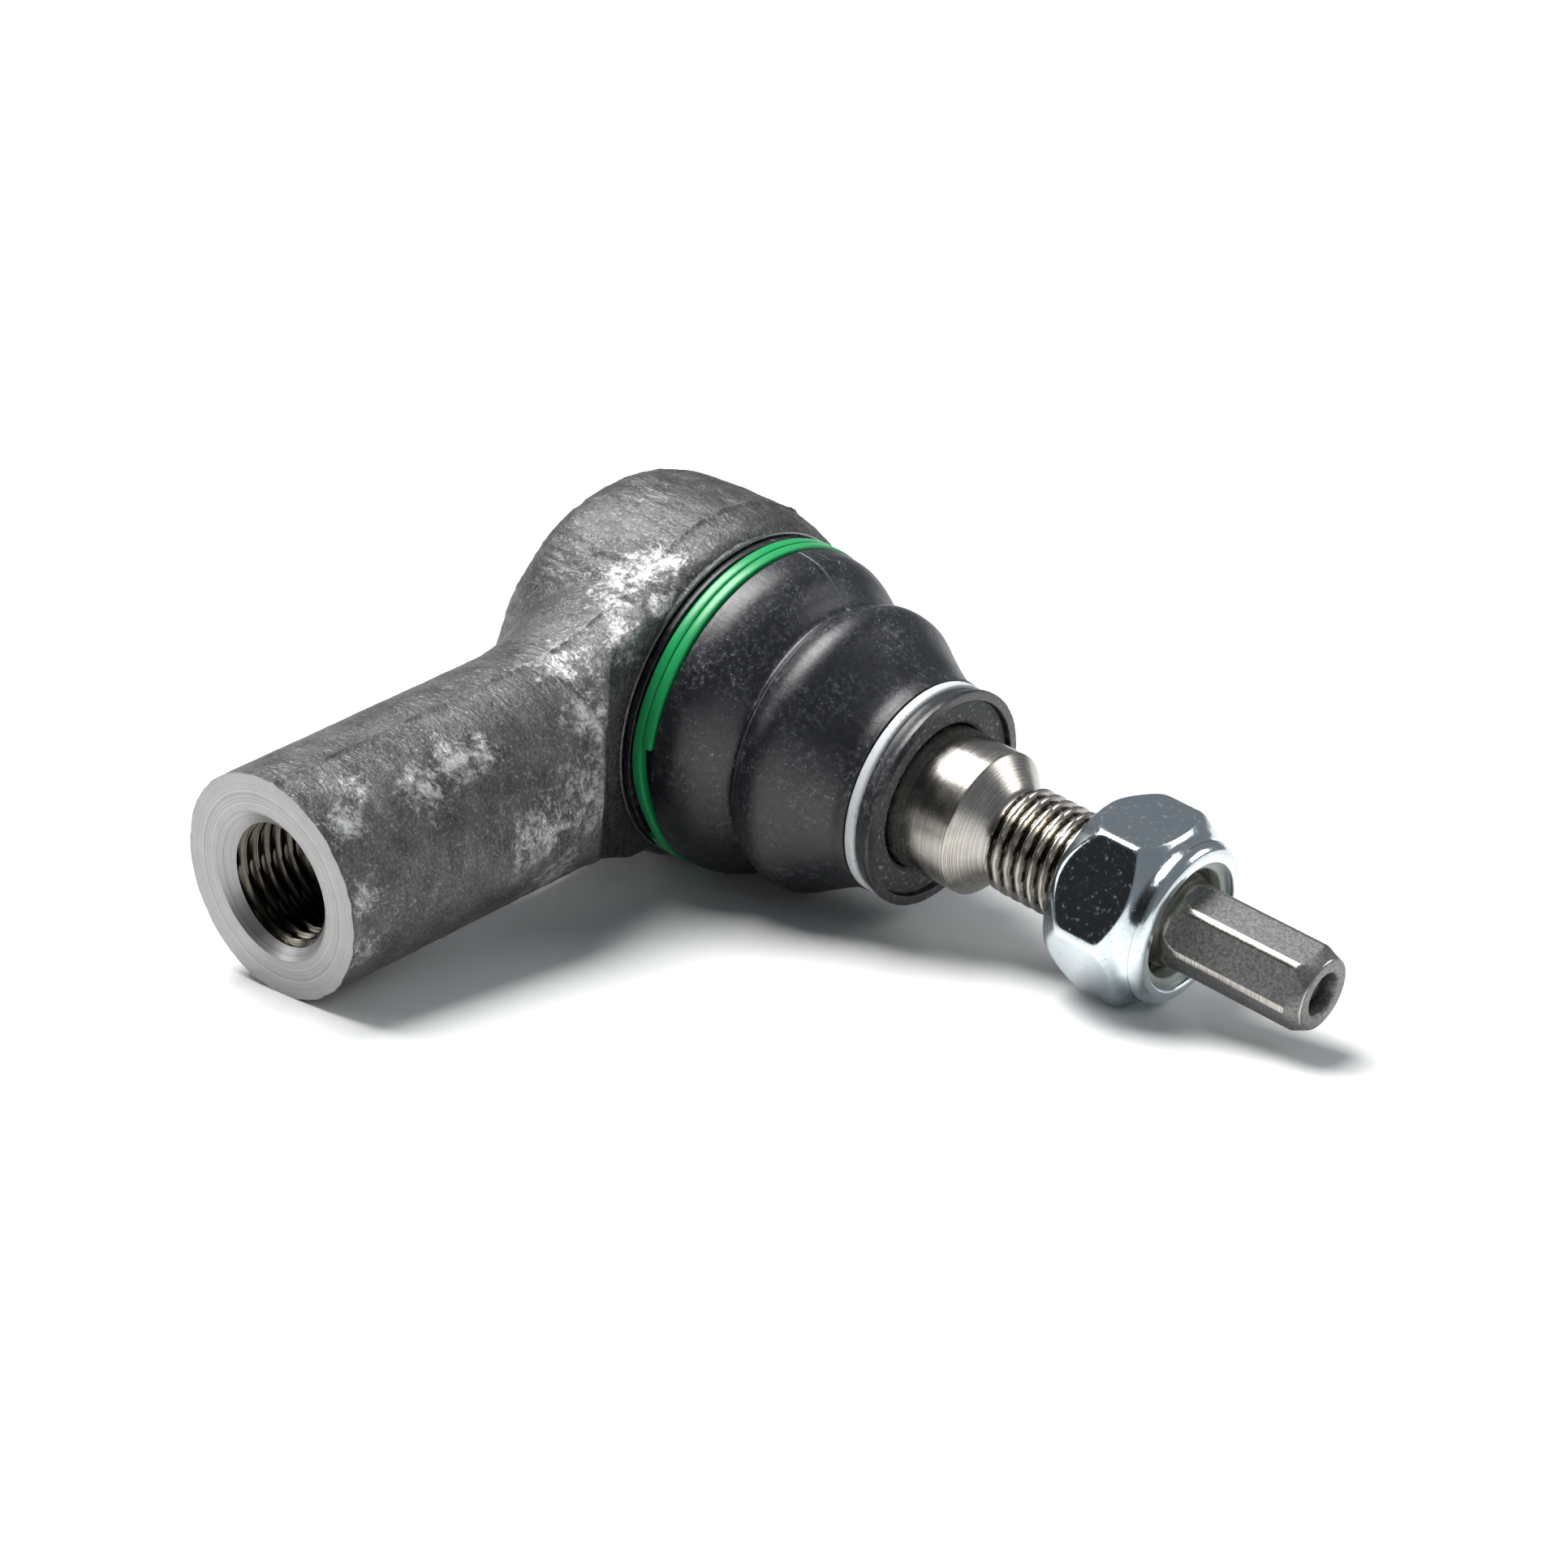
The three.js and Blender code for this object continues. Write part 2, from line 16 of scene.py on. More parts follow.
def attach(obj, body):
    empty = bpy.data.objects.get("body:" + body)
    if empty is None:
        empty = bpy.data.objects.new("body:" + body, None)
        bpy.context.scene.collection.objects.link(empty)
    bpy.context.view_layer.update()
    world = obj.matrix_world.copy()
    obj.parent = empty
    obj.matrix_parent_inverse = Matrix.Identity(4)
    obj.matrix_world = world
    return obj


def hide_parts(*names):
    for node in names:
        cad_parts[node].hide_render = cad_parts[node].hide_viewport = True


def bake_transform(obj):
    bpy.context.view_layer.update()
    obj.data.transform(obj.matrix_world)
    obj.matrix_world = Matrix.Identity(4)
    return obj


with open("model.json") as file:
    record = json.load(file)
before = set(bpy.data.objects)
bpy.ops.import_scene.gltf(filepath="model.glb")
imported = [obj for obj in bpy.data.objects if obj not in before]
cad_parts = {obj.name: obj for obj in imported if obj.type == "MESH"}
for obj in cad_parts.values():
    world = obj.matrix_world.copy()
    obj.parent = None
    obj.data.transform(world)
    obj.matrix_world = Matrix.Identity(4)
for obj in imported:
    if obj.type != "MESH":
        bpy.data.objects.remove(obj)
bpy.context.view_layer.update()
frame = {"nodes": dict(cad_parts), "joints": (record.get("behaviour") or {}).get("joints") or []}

# %% [markdown]
# ## The joint's own directions
# The part lies tilted on its bench, so nothing on it runs along the world's axes. A maker
# draws it in its own directions instead: the ball's centre is zero, X runs out along the
# stud, -Y runs out along the shank, and sizes are millimetres. One matrix then lays each
# finished piece down on the bench. The joints of the frame hold that matrix.

# %% From the maker's drawing to the bench
MM = 0.001
joints = {joint["name"]: joint for joint in frame["joints"]}
ball_centre = Vector(joints["stud_spin"]["pos_m"])
along_stud = Vector(joints["stud_spin"]["axis"])
against_shank = Vector(joints["swing_up_down"]["axis"])
upward = Vector(joints["swing_sideways"]["axis"])
directions = Matrix((along_stud, against_shank, upward)).transposed()
lay_down = Matrix.Translation(ball_centre) @ directions.to_4x4() @ Matrix.Scale(MM, 4)
to_drawing = lay_down.inverted()


def extent(node):
    """Lowest and highest corner of a CAD node in the drawing's millimetres."""
    points = [to_drawing @ vertex.co for vertex in frame["nodes"][node].data.vertices]
    low = Vector([min(point[axis] for point in points) for axis in range(3)])
    high = Vector([max(point[axis] for point in points) for axis in range(3)])
    return low, high


housing_low, housing_high = extent("housing")
stud_high = extent("ball_stud")[1]
boot_low, boot_high = extent("boot")
nut_low, nut_high = extent("lock_nut")
SHANK_END = -housing_low.y
HEAD_RADIUS = housing_high.z
HEAD_BACK = -housing_low.x
STUD_TIP = stud_high.x
BOOT_START = boot_low.x
BOOT_END = boot_high.x
FLANGE_RADIUS = boot_high.z
NUT_SEAT = nut_low.x
NUT_END = nut_high.x
print(f"shank {SHANK_END:.1f}, head {HEAD_RADIUS:.1f}, stud {STUD_TIP:.1f}, nut {NUT_SEAT:.1f}")

# %% [markdown]
# ## Camera
# A long lens, from in front of the shank and above, shows both arms of the joint. The camera
# is placed in the joint's own directions too: 225 mm out along the stud, 265 mm out along the
# shank and 198 mm up. The three vectors are its right, up and back directions.

# %% Camera
camera_data = bpy.data.cameras.new("camera")
camera_data.lens = 84.1
camera_data.sensor_width = 36
camera_data.clip_start = 0.01
camera = bpy.data.objects.new("camera", camera_data)
bpy.context.scene.collection.objects.link(camera)
camera_place = lay_down @ Vector((225.3, -265.5, 198.1))
camera_right = directions @ Vector((0.74665, 0.66054, 0.07878))
camera_up = directions @ Vector((-0.39470, 0.34457, 0.85175))
camera_back = directions @ Vector((0.53547, -0.66706, 0.51799))
camera_turn = Matrix((camera_right, camera_up, camera_back)).transposed().to_4x4()
camera.matrix_world = Matrix.Translation(camera_place) @ camera_turn
bpy.context.scene.camera = camera
print("camera at", [round(value, 3) for value in camera_place])

# %% [markdown]
# ## Colours, nodes and materials
# Colours are written the way a paint chart gives them, as sRGB hex, and turned to the linear
# values that the renderer works in. One small function adds any shader node: its values are
# either constants or the outputs of other nodes.

# %% Colours and nodes
def linear(hex_colour):
    """An sRGB hex colour as linear red, green, blue and alpha."""
    parts = [int(hex_colour[i:i + 2], 16) / 255 for i in (1, 3, 5)]
    return [p / 12.92 if p <= 0.04045 else ((p + 0.055) / 1.055) ** 2.4 for p in parts] + [1]


def add(tree, kind, values=None, **settings):
    """Adds a shader node. A value that is a socket is linked, and any other is set."""
    made = tree.nodes.new("ShaderNode" + kind)
    for name, setting in settings.items():
        setattr(made, name, setting)
    for key, value in (values or {}).items():
        if isinstance(value, bpy.types.NodeSocket):
            tree.links.new(value, made.inputs[key])
        else:
            made.inputs[key].default_value = value
    return made


def new_material(name):
    """An empty material, its nodes, and its place in the drawing's millimetres."""
    material = bpy.data.materials.new(name)
    material.use_nodes = True
    tree = material.node_tree
    tree.nodes.clear()
    here = add(tree, "Mapping", {
        "Vector": add(tree, "TexCoord").outputs["Object"],
        "Location": ball_centre,
        "Rotation": directions.to_euler(),
        "Scale": (MM, MM, MM),
    }, vector_type="TEXTURE").outputs[0]
    return material, tree, here


def set_surface(tree, values):
    """Closes a material with one Principled shader."""
    shader = add(tree, "BsdfPrincipled", values)
    add(tree, "OutputMaterial", {"Surface": shader.outputs[0]})


print("mid grey is", round(linear("#808080")[0], 3))

# %% [markdown]
# ### Forged steel
# The housing is hot-forged and then tumbled. That leaves a dark grey skin of scale, a grain
# of fine pits about 0.3 mm across, and bright bare metal wherever other parts knocked it. The
# grain is noise in real millimetres. A value on each vertex says where knocks are likely, and
# also carries a painted highlight along the parting ridge; noise breaks it up.

# %% Forged steel
def forged_steel():
    material, tree, here = new_material("forged_steel_tumbled")
    cloud = add(tree, "TexNoise", {"Vector": here, "Scale": 0.28, "Detail": 6,
                                   "Roughness": 0.62}).outputs[0]
    grain = add(tree, "TexNoise", {"Vector": here, "Scale": 2.9, "Detail": 6,
                                   "Roughness": 0.65}).outputs[0]
    patchy = add(tree, "TexNoise", {"Vector": here, "Scale": 0.7, "Detail": 12,
                                    "Roughness": 0.85, "Distortion": 0.25}).outputs[0]
    drawn = add(tree, "VectorMath", {0: here, 1: (0.45, 1.1, 0.4)}, operation="MULTIPLY")
    wrinkle = add(tree, "TexNoise", {"Vector": drawn.outputs[0], "Scale": 0.8, "Detail": 5,
                                     "Roughness": 0.6, "Distortion": 0.8}).outputs[0]
    tone = add(tree, "MapRange", {"Value": cloud, "From Min": 0.25, "From Max": 0.75}).outputs[0]
    skin = add(tree, "Mix", {0: tone, 6: linear("#383838"), 7: linear("#6c6c6b")},
               data_type="RGBA").outputs[2]
    pit = add(tree, "MapRange", {"Value": grain, "From Min": 0.32, "From Max": 0.46,
                                 "To Min": 0.6, "To Max": 0}).outputs[0]
    pitted = add(tree, "Mix", {0: pit, 6: skin, 7: linear("#232425")},
                 data_type="RGBA").outputs[2]
    glint = add(tree, "MapRange", {"Value": grain, "From Min": 0.54, "From Max": 0.7,
                                   "To Min": 0, "To Max": 0.5}).outputs[0]
    glinting = add(tree, "Mix", {0: glint, 6: pitted, 7: linear("#b0b0af")},
                   data_type="RGBA").outputs[2]
    # This value holds the knocks and the parting ridge's painted highlight.
    knocked_and_ridge_highlight = add(tree, "Attribute", attribute_name="scuff_and_ridge_highlight").outputs["Fac"]
    reach = add(tree, "Math", {0: knocked_and_ridge_highlight, 1: 0.17, 2: patchy}, operation="MULTIPLY_ADD")
    bare_metal_and_ridge_highlight = add(tree, "MapRange", {"Value": reach.outputs[0], "From Min": 0.585,
                                  "From Max": 0.74, "To Max": 0.85}).outputs[0]
    colour = add(tree, "Mix", {0: bare_metal_and_ridge_highlight, 6: glinting, 7: linear("#d2d2d1")},
                 data_type="RGBA").outputs[2]
    roughness = add(tree, "MapRange", {"Value": bare_metal_and_ridge_highlight, "To Min": 0.46, "To Max": 0.36}).outputs[0]
    height = add(tree, "Math", {0: wrinkle, 1: 2.4, 2: grain}, operation="MULTIPLY_ADD").outputs[0]
    relief = add(tree, "Bump", {"Height": height, "Strength": 0.7, "Distance": 0.14 * MM})
    set_surface(tree, {"Base Color": colour, "Metallic": 0.75, "Roughness": roughness,
                       "Normal": relief.outputs[0]})
    return material


# %% [markdown]
# ### Turned steel
# A lathe tool leaves rings a few hundredths of a millimetre apart, drawn here at a few tenths
# so that they show. The rings depend only on the distance along the axis and from it, so a
# one-dimensional noise on their sum makes them on cylinders, cones and end faces alike.

# %% Turned steel, for the stud, the shank's end face and its bore
def turned_steel(name, axis, bright, dark, roughness, ring_spacing, depth):
    material, tree, here = new_material(name)
    parts = add(tree, "SeparateXYZ", {"Vector": here})
    across = [part for part in "XYZ" if part != axis]
    flat = add(tree, "CombineXYZ", {0: parts.outputs[across[0]], 1: parts.outputs[across[1]]})
    radius = add(tree, "VectorMath", {0: flat.outputs[0]}, operation="LENGTH").outputs["Value"]
    path = add(tree, "Math", {0: parts.outputs[axis], 1: radius}, operation="SUBTRACT").outputs[0]
    rings = add(tree, "TexNoise", {"W": path, "Scale": 1 / ring_spacing, "Detail": 4,
                                   "Roughness": 0.7}, noise_dimensions="1D").outputs[0]
    stain = add(tree, "TexNoise", {"Vector": here, "Scale": 0.5, "Detail": 7,
                                   "Roughness": 0.65}).outputs[0]
    shade = add(tree, "Math", {0: stain, 1: 0.35, 2: rings}, operation="MULTIPLY_ADD").outputs[0]
    tone = add(tree, "MapRange", {"Value": shade, "From Min": 0.5, "From Max": 0.85}).outputs[0]
    colour = add(tree, "Mix", {0: tone, 6: linear(dark), 7: linear(bright)},
                 data_type="RGBA").outputs[2]
    gloss = add(tree, "MapRange", {"Value": stain, "From Min": 0.3, "From Max": 0.7,
                                   "To Min": roughness - 0.03, "To Max": roughness + 0.05})
    relief = add(tree, "Bump", {"Height": rings, "Strength": 0.6, "Distance": depth * MM})
    set_surface(tree, {"Base Color": colour, "Metallic": 1.0, "Roughness": gloss.outputs[0],
                       "Normal": relief.outputs[0]})
    return material


# %% [markdown]
# ### Blasted steel
# The flats of the drive hexagon are pressed, not turned: a fine, dark grey, granular skin.
# The same skin suits the phosphated spring and the cover pressed from sheet.

# %% Grained metal
def grained_metal(name, light, dark, roughness, grain_size, depth):
    material, tree, here = new_material(name)
    grain = add(tree, "TexNoise", {"Vector": here, "Scale": 0.45 / grain_size, "Detail": 5,
                                   "Roughness": 0.7}).outputs[0]
    tone = add(tree, "MapRange", {"Value": grain, "From Min": 0.35, "From Max": 0.68}).outputs[0]
    colour = add(tree, "Mix", {0: tone, 6: linear(dark), 7: linear(light)},
                 data_type="RGBA").outputs[2]
    relief = add(tree, "Bump", {"Height": grain, "Strength": 0.5, "Distance": depth * MM})
    set_surface(tree, {"Base Color": colour, "Metallic": 0.9, "Roughness": roughness,
                       "Normal": relief.outputs[0]})
    return material


# %% [markdown]
# ### Zinc plate
# The nut is bright zinc plate with a blue passivation: a smooth, slightly blue mirror with
# small plating pits and dull specks. It takes its tones from what it reflects.

# %% Zinc plate
def zinc_plate():
    material, tree, here = new_material("zinc_plate_blue_passivated")
    speck = add(tree, "TexNoise", {"Vector": here, "Scale": 1.5, "Detail": 8,
                                   "Roughness": 0.7}).outputs[0]
    bloom = add(tree, "TexNoise", {"Vector": here, "Scale": 0.35, "Detail": 4}).outputs[0]
    dull = add(tree, "MapRange", {"Value": speck, "From Min": 0.54, "From Max": 0.8}).outputs[0]
    tint = add(tree, "Mix", {0: bloom, 6: linear("#c3d0d8"), 7: linear("#dde3e4")},
               data_type="RGBA").outputs[2]
    colour = add(tree, "Mix", {0: dull, 6: tint, 7: linear("#aab2b7")},
                 data_type="RGBA").outputs[2]
    roughness = add(tree, "MapRange", {"Value": dull, "To Min": 0.15, "To Max": 0.55}).outputs[0]
    relief = add(tree, "Bump", {"Height": speck, "Strength": 0.22, "Distance": 0.05 * MM})
    set_surface(tree, {"Base Color": colour, "Metallic": 1.0, "Roughness": roughness,
                       "Normal": relief.outputs[0]})
    return material


# %% [markdown]
# ### Boot rubber
# Moulded chloroprene rubber is nearly black with a soft grey sheen. Handling leaves pale dust
# in specks and smears. A thin flash line runs over the first fold and then round the valley,
# where the parts of the mould closed. Each vertex keeps the place it was moulded at, and the
# marks are drawn by that.

# %% Boot rubber
MOULD_LINE_ANGLE = math.radians(82)
MOULD_LINE_X = 17.7


def boot_rubber():
    material, tree, _ = new_material("chloroprene_rubber_moulded")
    here = add(tree, "Attribute", attribute_name="moulded_at").outputs["Vector"]
    mottle = add(tree, "TexNoise", {"Vector": here, "Scale": 0.2, "Detail": 5,
                                    "Roughness": 0.6}).outputs[0]
    fine = add(tree, "TexNoise", {"Vector": here, "Scale": 1.6, "Detail": 10,
                                  "Roughness": 0.8}).outputs[0]
    drawn = add(tree, "VectorMath", {0: here, 1: (0.14, 1, 1)}, operation="MULTIPLY")
    streak = add(tree, "TexNoise", {"Vector": drawn.outputs[0], "Scale": 2.2, "Detail": 5,
                                    "Roughness": 0.7}).outputs[0]
    speck = add(tree, "TexVoronoi", {"Vector": here, "Scale": 1.7, "Randomness": 1.0},
                feature="F1").outputs["Distance"]
    dusty = add(tree, "MapRange", {"Value": mottle, "From Min": 0.4, "From Max": 0.66}).outputs[0]
    dot = add(tree, "MapRange", {"Value": speck, "From Min": 0.17, "From Max": 0.07}).outputs[0]
    smear = add(tree, "MapRange", {"Value": fine, "From Min": 0.5, "From Max": 0.75,
                                   "To Max": 0.6}).outputs[0]
    marks = add(tree, "Math", {0: dot, 1: smear}, operation="MAXIMUM").outputs[0]
    dust = add(tree, "Math", {0: marks, 1: dusty}, operation="MULTIPLY").outputs[0]
    parts = add(tree, "SeparateXYZ", {"Vector": here})
    angle = add(tree, "Math", {0: parts.outputs["Z"], 1: parts.outputs["Y"]},
                operation="ARCTAN2").outputs[0]
    off_line = add(tree, "Math", {0: angle, 1: MOULD_LINE_ANGLE}, operation="SUBTRACT")
    away = add(tree, "Math", {0: off_line.outputs[0]}, operation="ABSOLUTE").outputs[0]
    along = add(tree, "MapRange", {"Value": away, "From Min": 0.011, "From Max": 0.003})
    first_fold = add(tree, "Math", {0: parts.outputs["X"], 1: MOULD_LINE_X}, operation="LESS_THAN")
    seam_along = add(tree, "Math", {0: along.outputs[0], 1: first_fold.outputs[0]},
                     operation="MULTIPLY").outputs[0]
    off_ring = add(tree, "Math", {0: parts.outputs["X"], 1: MOULD_LINE_X}, operation="SUBTRACT")
    from_ring = add(tree, "Math", {0: off_ring.outputs[0]}, operation="ABSOLUTE").outputs[0]
    seam_round = add(tree, "MapRange", {"Value": from_ring, "From Min": 0.16, "From Max": 0.04})
    flash = add(tree, "Math", {0: seam_along, 1: seam_round.outputs[0]},
                operation="MAXIMUM").outputs[0]
    pale = add(tree, "Math", {0: flash, 1: 0.25, 2: dust}, operation="MULTIPLY_ADD").outputs[0]
    colour = add(tree, "Mix", {0: pale, 6: linear("#15161a"), 7: linear("#9a9da1")},
                 data_type="RGBA").outputs[2]
    wear = add(tree, "Math", {0: fine, 1: streak}, operation="ADD").outputs[0]
    roughness = add(tree, "MapRange", {"Value": wear, "From Min": 0.7, "From Max": 1.3,
                                       "To Min": 0.24, "To Max": 0.46}).outputs[0]
    height = add(tree, "Math", {0: flash, 1: 2.5, 2: wear}, operation="MULTIPLY_ADD").outputs[0]
    relief = add(tree, "Bump", {"Height": height, "Strength": 0.6, "Distance": 0.05 * MM})
    set_surface(tree, {"Base Color": colour, "Roughness": roughness, "IOR": 1.56,
                       "Normal": relief.outputs[0]})
    return material


# %% [markdown]
# ### Plastics and coatings
# The seats are moulded acetal, the nut's insert is nylon, the small ring is a worn pale
# polymer, and the clamp ring is spring wire with a green coat. Each is a dielectric with one
# colour, a second colour where dirt or wear gathers, and a fine moulded texture.

# %% Moulded and coated surfaces
def moulded(name, clean, worn, wear_from, roughness, grain_size, depth):
    material, tree, here = new_material(name)
    grain = add(tree, "TexNoise", {"Vector": here, "Scale": 0.45 / grain_size, "Detail": 6,
                                   "Roughness": 0.7}).outputs[0]
    worn_away = add(tree, "MapRange", {"Value": grain, "From Min": wear_from,
                                       "From Max": wear_from + 0.12}).outputs[0]
    colour = add(tree, "Mix", {0: worn_away, 6: linear(clean), 7: linear(worn)},
                 data_type="RGBA").outputs[2]
    relief = add(tree, "Bump", {"Height": grain, "Strength": 0.4, "Distance": depth * MM})
    set_surface(tree, {"Base Color": colour, "Roughness": roughness,
                       "Normal": relief.outputs[0]})
    return material


# %% Mix the finishes
FORGED = forged_steel()
TURNED = turned_steel("steel_turned", "X", "#c9c5be", "#8b857e", 0.25, 0.2, 0.006)
FACED = turned_steel("steel_faced", "Y", "#a2a2a1", "#828281", 0.4, 0.35, 0.005)
# The thread material is dark grey: painted shade for the grooves of the bore's thread and the
# stud's thread roots.
SHADED_THREAD = turned_steel("steel_thread_painted_shade", "Y", "#6f6a60", "#2b2926", 0.22, 0.3, 0.01)
PRESSED_FLAT = grained_metal("steel_pressed_flats", "#91908f", "#5d5c5b", 0.47, 0.16, 0.015)
SPRING = grained_metal("spring_steel_phosphated", "#707275", "#4a4c4e", 0.45, 0.2, 0.02)
COVER = grained_metal("steel_sheet_pressed", "#7b7d80", "#4b4d50", 0.4, 0.3, 0.02)
ZINC = zinc_plate()
RUBBER = boot_rubber()
GREEN_COAT = moulded("wire_coat_green", "#1f9656", "#17683c", 0.62, 0.3, 0.6, 0.03)
RING_POLYMER = moulded("ring_polymer_pale", "#c6c8c9", "#77797b", 0.58, 0.55, 0.35, 0.04)
BONDED_GRIT = moulded("collar_bonded_grit", "#484a4b", "#a7a8a8", 0.56, 0.75, 0.22, 0.12)
ACETAL = moulded("acetal_moulded", "#ebe6d9", "#d8d2c2", 0.6, 0.4, 0.8, 0.02)
NYLON = moulded("nylon_moulded", "#b3bdb6", "#98a29b", 0.6, 0.42, 0.6, 0.03)
print(len(bpy.data.materials), "materials")

# %% [markdown]
# ## Turning a piece
# Most of this object is turned. The lesson does what a lathe does: draw half of the section as
# (x, radius) points, and spin it round the axis. `eased` rounds the corners that ask for it,
# `flowing` runs a smooth curve through points, and `divided` adds points where a later step
# needs them, such as a thread.

# %% Lines to turn
def eased(outline, steps=5):
    """Rounds each corner with a third number: the length its curve takes on both sides."""
    result = []
    for i, corner in enumerate(outline):
        here = Vector(corner[:2])
        if len(corner) == 2:
            result.append(here)
            continue
        before = Vector(outline[i - 1][:2])
        after = Vector(outline[(i + 1) % len(outline)][:2])
        start = here + (before - here).normalized() * corner[2]
        end = here + (after - here).normalized() * corner[2]
        for step in range(steps + 1):
            t = step / steps
            result.append(start * (1 - t) ** 2 + here * 2 * t * (1 - t) + end * t ** 2)
    return result


def flowing(points, steps=5):
    """A smooth curve through the points."""
    points = [Vector(point) for point in points]
    result = []
    for i in range(len(points) - 1):
        before, start = points[max(i - 1, 0)], points[i]
        end, after = points[i + 1], points[min(i + 2, len(points) - 1)]
        leave, arrive = (end - before) / 2, (after - start) / 2
        for step in range(steps):
            t = step / steps
            place = start * (2 * t ** 3 - 3 * t ** 2 + 1) + end * (3 * t ** 2 - 2 * t ** 3)
            place += leave * (t ** 3 - 2 * t ** 2 + t) + arrive * (t ** 3 - t ** 2)
            result.append(place)
    return result + [points[-1]]


def divided(outline, step):
    """Adds points so that no stretch is longer than step."""
    result = []
    for start, end in zip(outline, outline[1:]):
        start, end = Vector(start[:2]), Vector(end[:2])
        count = max(1, math.ceil((end - start).length / step))
        result += [start.lerp(end, i / count) for i in range(count)]
    return result + [Vector(outline[-1][:2])]


def turned(outline, segments=128):
    """Spins (x, radius) points once round X. A line that leaves the axis is closed first."""
    shape = bmesh.new()
    points = [shape.verts.new((x, 0, radius)) for x, radius in outline]
    chain = points if outline[0][1] == 0 else points + points[:1]
    edges = [shape.edges.new(pair) for pair in zip(chain, chain[1:])]
    bmesh.ops.spin(shape, geom=points + edges, cent=(0, 0, 0), axis=(1, 0, 0),
                   angle=2 * math.pi, steps=segments, use_merge=True, use_duplicate=False)
    bmesh.ops.remove_doubles(shape, verts=shape.verts, dist=1e-4)
    bmesh.ops.recalc_face_normals(shape, faces=shape.faces)
    return shape


def reshape(shape, rule):
    """Moves each vertex to the radius that rule(x, angle, radius) gives."""
    for vertex in shape.verts:
        x, y, z = vertex.co
        radius = math.hypot(y, z)
        if radius > 1e-3:
            vertex.co.yz = Vector((y, z)) * rule(x, math.atan2(z, y), radius) / radius
    shape.normal_update()


print("a quarter round has", len(eased([(0, 0), (1, 0, 0.5), (1, 1)])), "points")

# %% [markdown]
# ## From shape to piece
# A finished shape becomes an object at the origin, with its place in its mesh. It is then laid
# down, rides on a body of the frame where it has one, and the CAD node it stands for is hidden.

# %% Finish a piece
SHARP_ANGLE = math.radians(32)


def as_object(name, shape, materials=(), sharp=SHARP_ANGLE):
    """A bmesh as an object, smooth except at edges sharper than the angle."""
    for face in shape.faces:
        face.smooth = True
    for edge in shape.edges:
        edge.smooth = edge.calc_face_angle(0) < sharp
    mesh = bpy.data.meshes.new(name)
    shape.to_mesh(mesh)
    shape.free()
    for material in materials:
        mesh.materials.append(material)
    piece = bpy.data.objects.new(name, mesh)
    bpy.context.scene.collection.objects.link(piece)
    return piece


def place(piece, body, node, slot):
    """Lays a piece down, ties it to its body, and hides its CAD node. The slot is not used."""
    piece.data.transform(lay_down)
    if body:
        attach(piece, body)
    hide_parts(node)
    print(f"{piece.name}: {len(piece.data.vertices)} vertices")


def with_modifier(piece, kind, **settings):
    """Adds one modifier to a piece and puts its result into the mesh."""
    modifier = piece.modifiers.new(kind, kind)
    for name, setting in settings.items():
        setattr(modifier, name, setting)
    evaluated = piece.evaluated_get(bpy.context.evaluated_depsgraph_get())
    mesh = bpy.data.meshes.new_from_object(evaluated)
    piece.modifiers.clear()
    piece.data = mesh


def combine(piece, other, operation):
    """Joins another solid to a piece or cuts it away. Both must be closed."""
    with_modifier(piece, "BOOLEAN", object=other, operation=operation, solver="MANIFOLD")
    bpy.data.objects.remove(other)


# %% [markdown]
# ## Housing
# The housing is one forging: a round head that holds the ball and a shank that the tie rod
# screws into, with a recess that keeps the shank clear of the boot. Forgings have no sharp
# edges, so the turned head and shank are joined, remeshed as one skin and smoothed. Noise then
# hammers the skin, and a ridge is raised where the two dies met. What a machine cuts later
# stays crisp: the end face, the threaded bore, the ball's cavity and the boot's neck.

# %% Sizes of the housing
HEAD_FRONT = 4.6
NECK_RADIUS = 16.2
NECK_END = 8.8
MOUTH_RADIUS = 11.9
SHANK_RADIUS = 12.2
SHANK_END_RADIUS = 11.95
SHANK_FLARE = 3.2
RECESS_RADIUS = HEAD_RADIUS + 3.6
RECESS_SLOPE = 0.62
BORE_RADIUS = 6.2
BORE_DEPTH = 36
BORE_PITCH = 1.5
BORE_THREAD_DEPTH = 0.72
COUNTERSINK_RADIUS = 7.9
SKIN_VOXEL = 0.38
PARTING_PLANE = 0.2
BEYOND = 1.5


def along_shank(shape):
    """Turns a shape from the stud's direction to the shank's."""
    bmesh.ops.rotate(shape, verts=shape.verts, matrix=Matrix.Rotation(-math.pi / 2, 3, "Z"))
    return shape


# %% Join the head and the shank, and cut the recess
head = as_object("housing_forging", turned(eased([
    (-HEAD_BACK, 0),
    (-HEAD_BACK, HEAD_RADIUS - 2.8, 1.0),
    (-HEAD_BACK + 2.8, HEAD_RADIUS - 0.7, 1.8),
    (-HEAD_BACK + 8, HEAD_RADIUS, 2.5),
    (HEAD_FRONT - 3.0, HEAD_RADIUS, 1.5),
    (HEAD_FRONT, HEAD_RADIUS - 1.1, 0.5),
    (HEAD_FRONT, 0),
])))
shank = as_object("shank_blank", along_shank(turned(flowing([
    (HEAD_RADIUS - 5, SHANK_RADIUS + SHANK_FLARE),
    (HEAD_RADIUS - 1.5, SHANK_RADIUS + 0.6 * SHANK_FLARE),
    (HEAD_RADIUS + 2, SHANK_RADIUS + 0.25 * SHANK_FLARE),
    (HEAD_RADIUS + 5.5, SHANK_RADIUS + 0.06 * SHANK_FLARE),
    (HEAD_RADIUS + 9, SHANK_RADIUS),
    (SHANK_END + BEYOND, SHANK_END_RADIUS),
]) + [(SHANK_END + BEYOND, 0.01), (0, 0.01), (0, SHANK_RADIUS + SHANK_FLARE)])))
combine(head, shank, "UNION")
recess_depth = SHANK_RADIUS + SHANK_FLARE - HEAD_FRONT + BEYOND
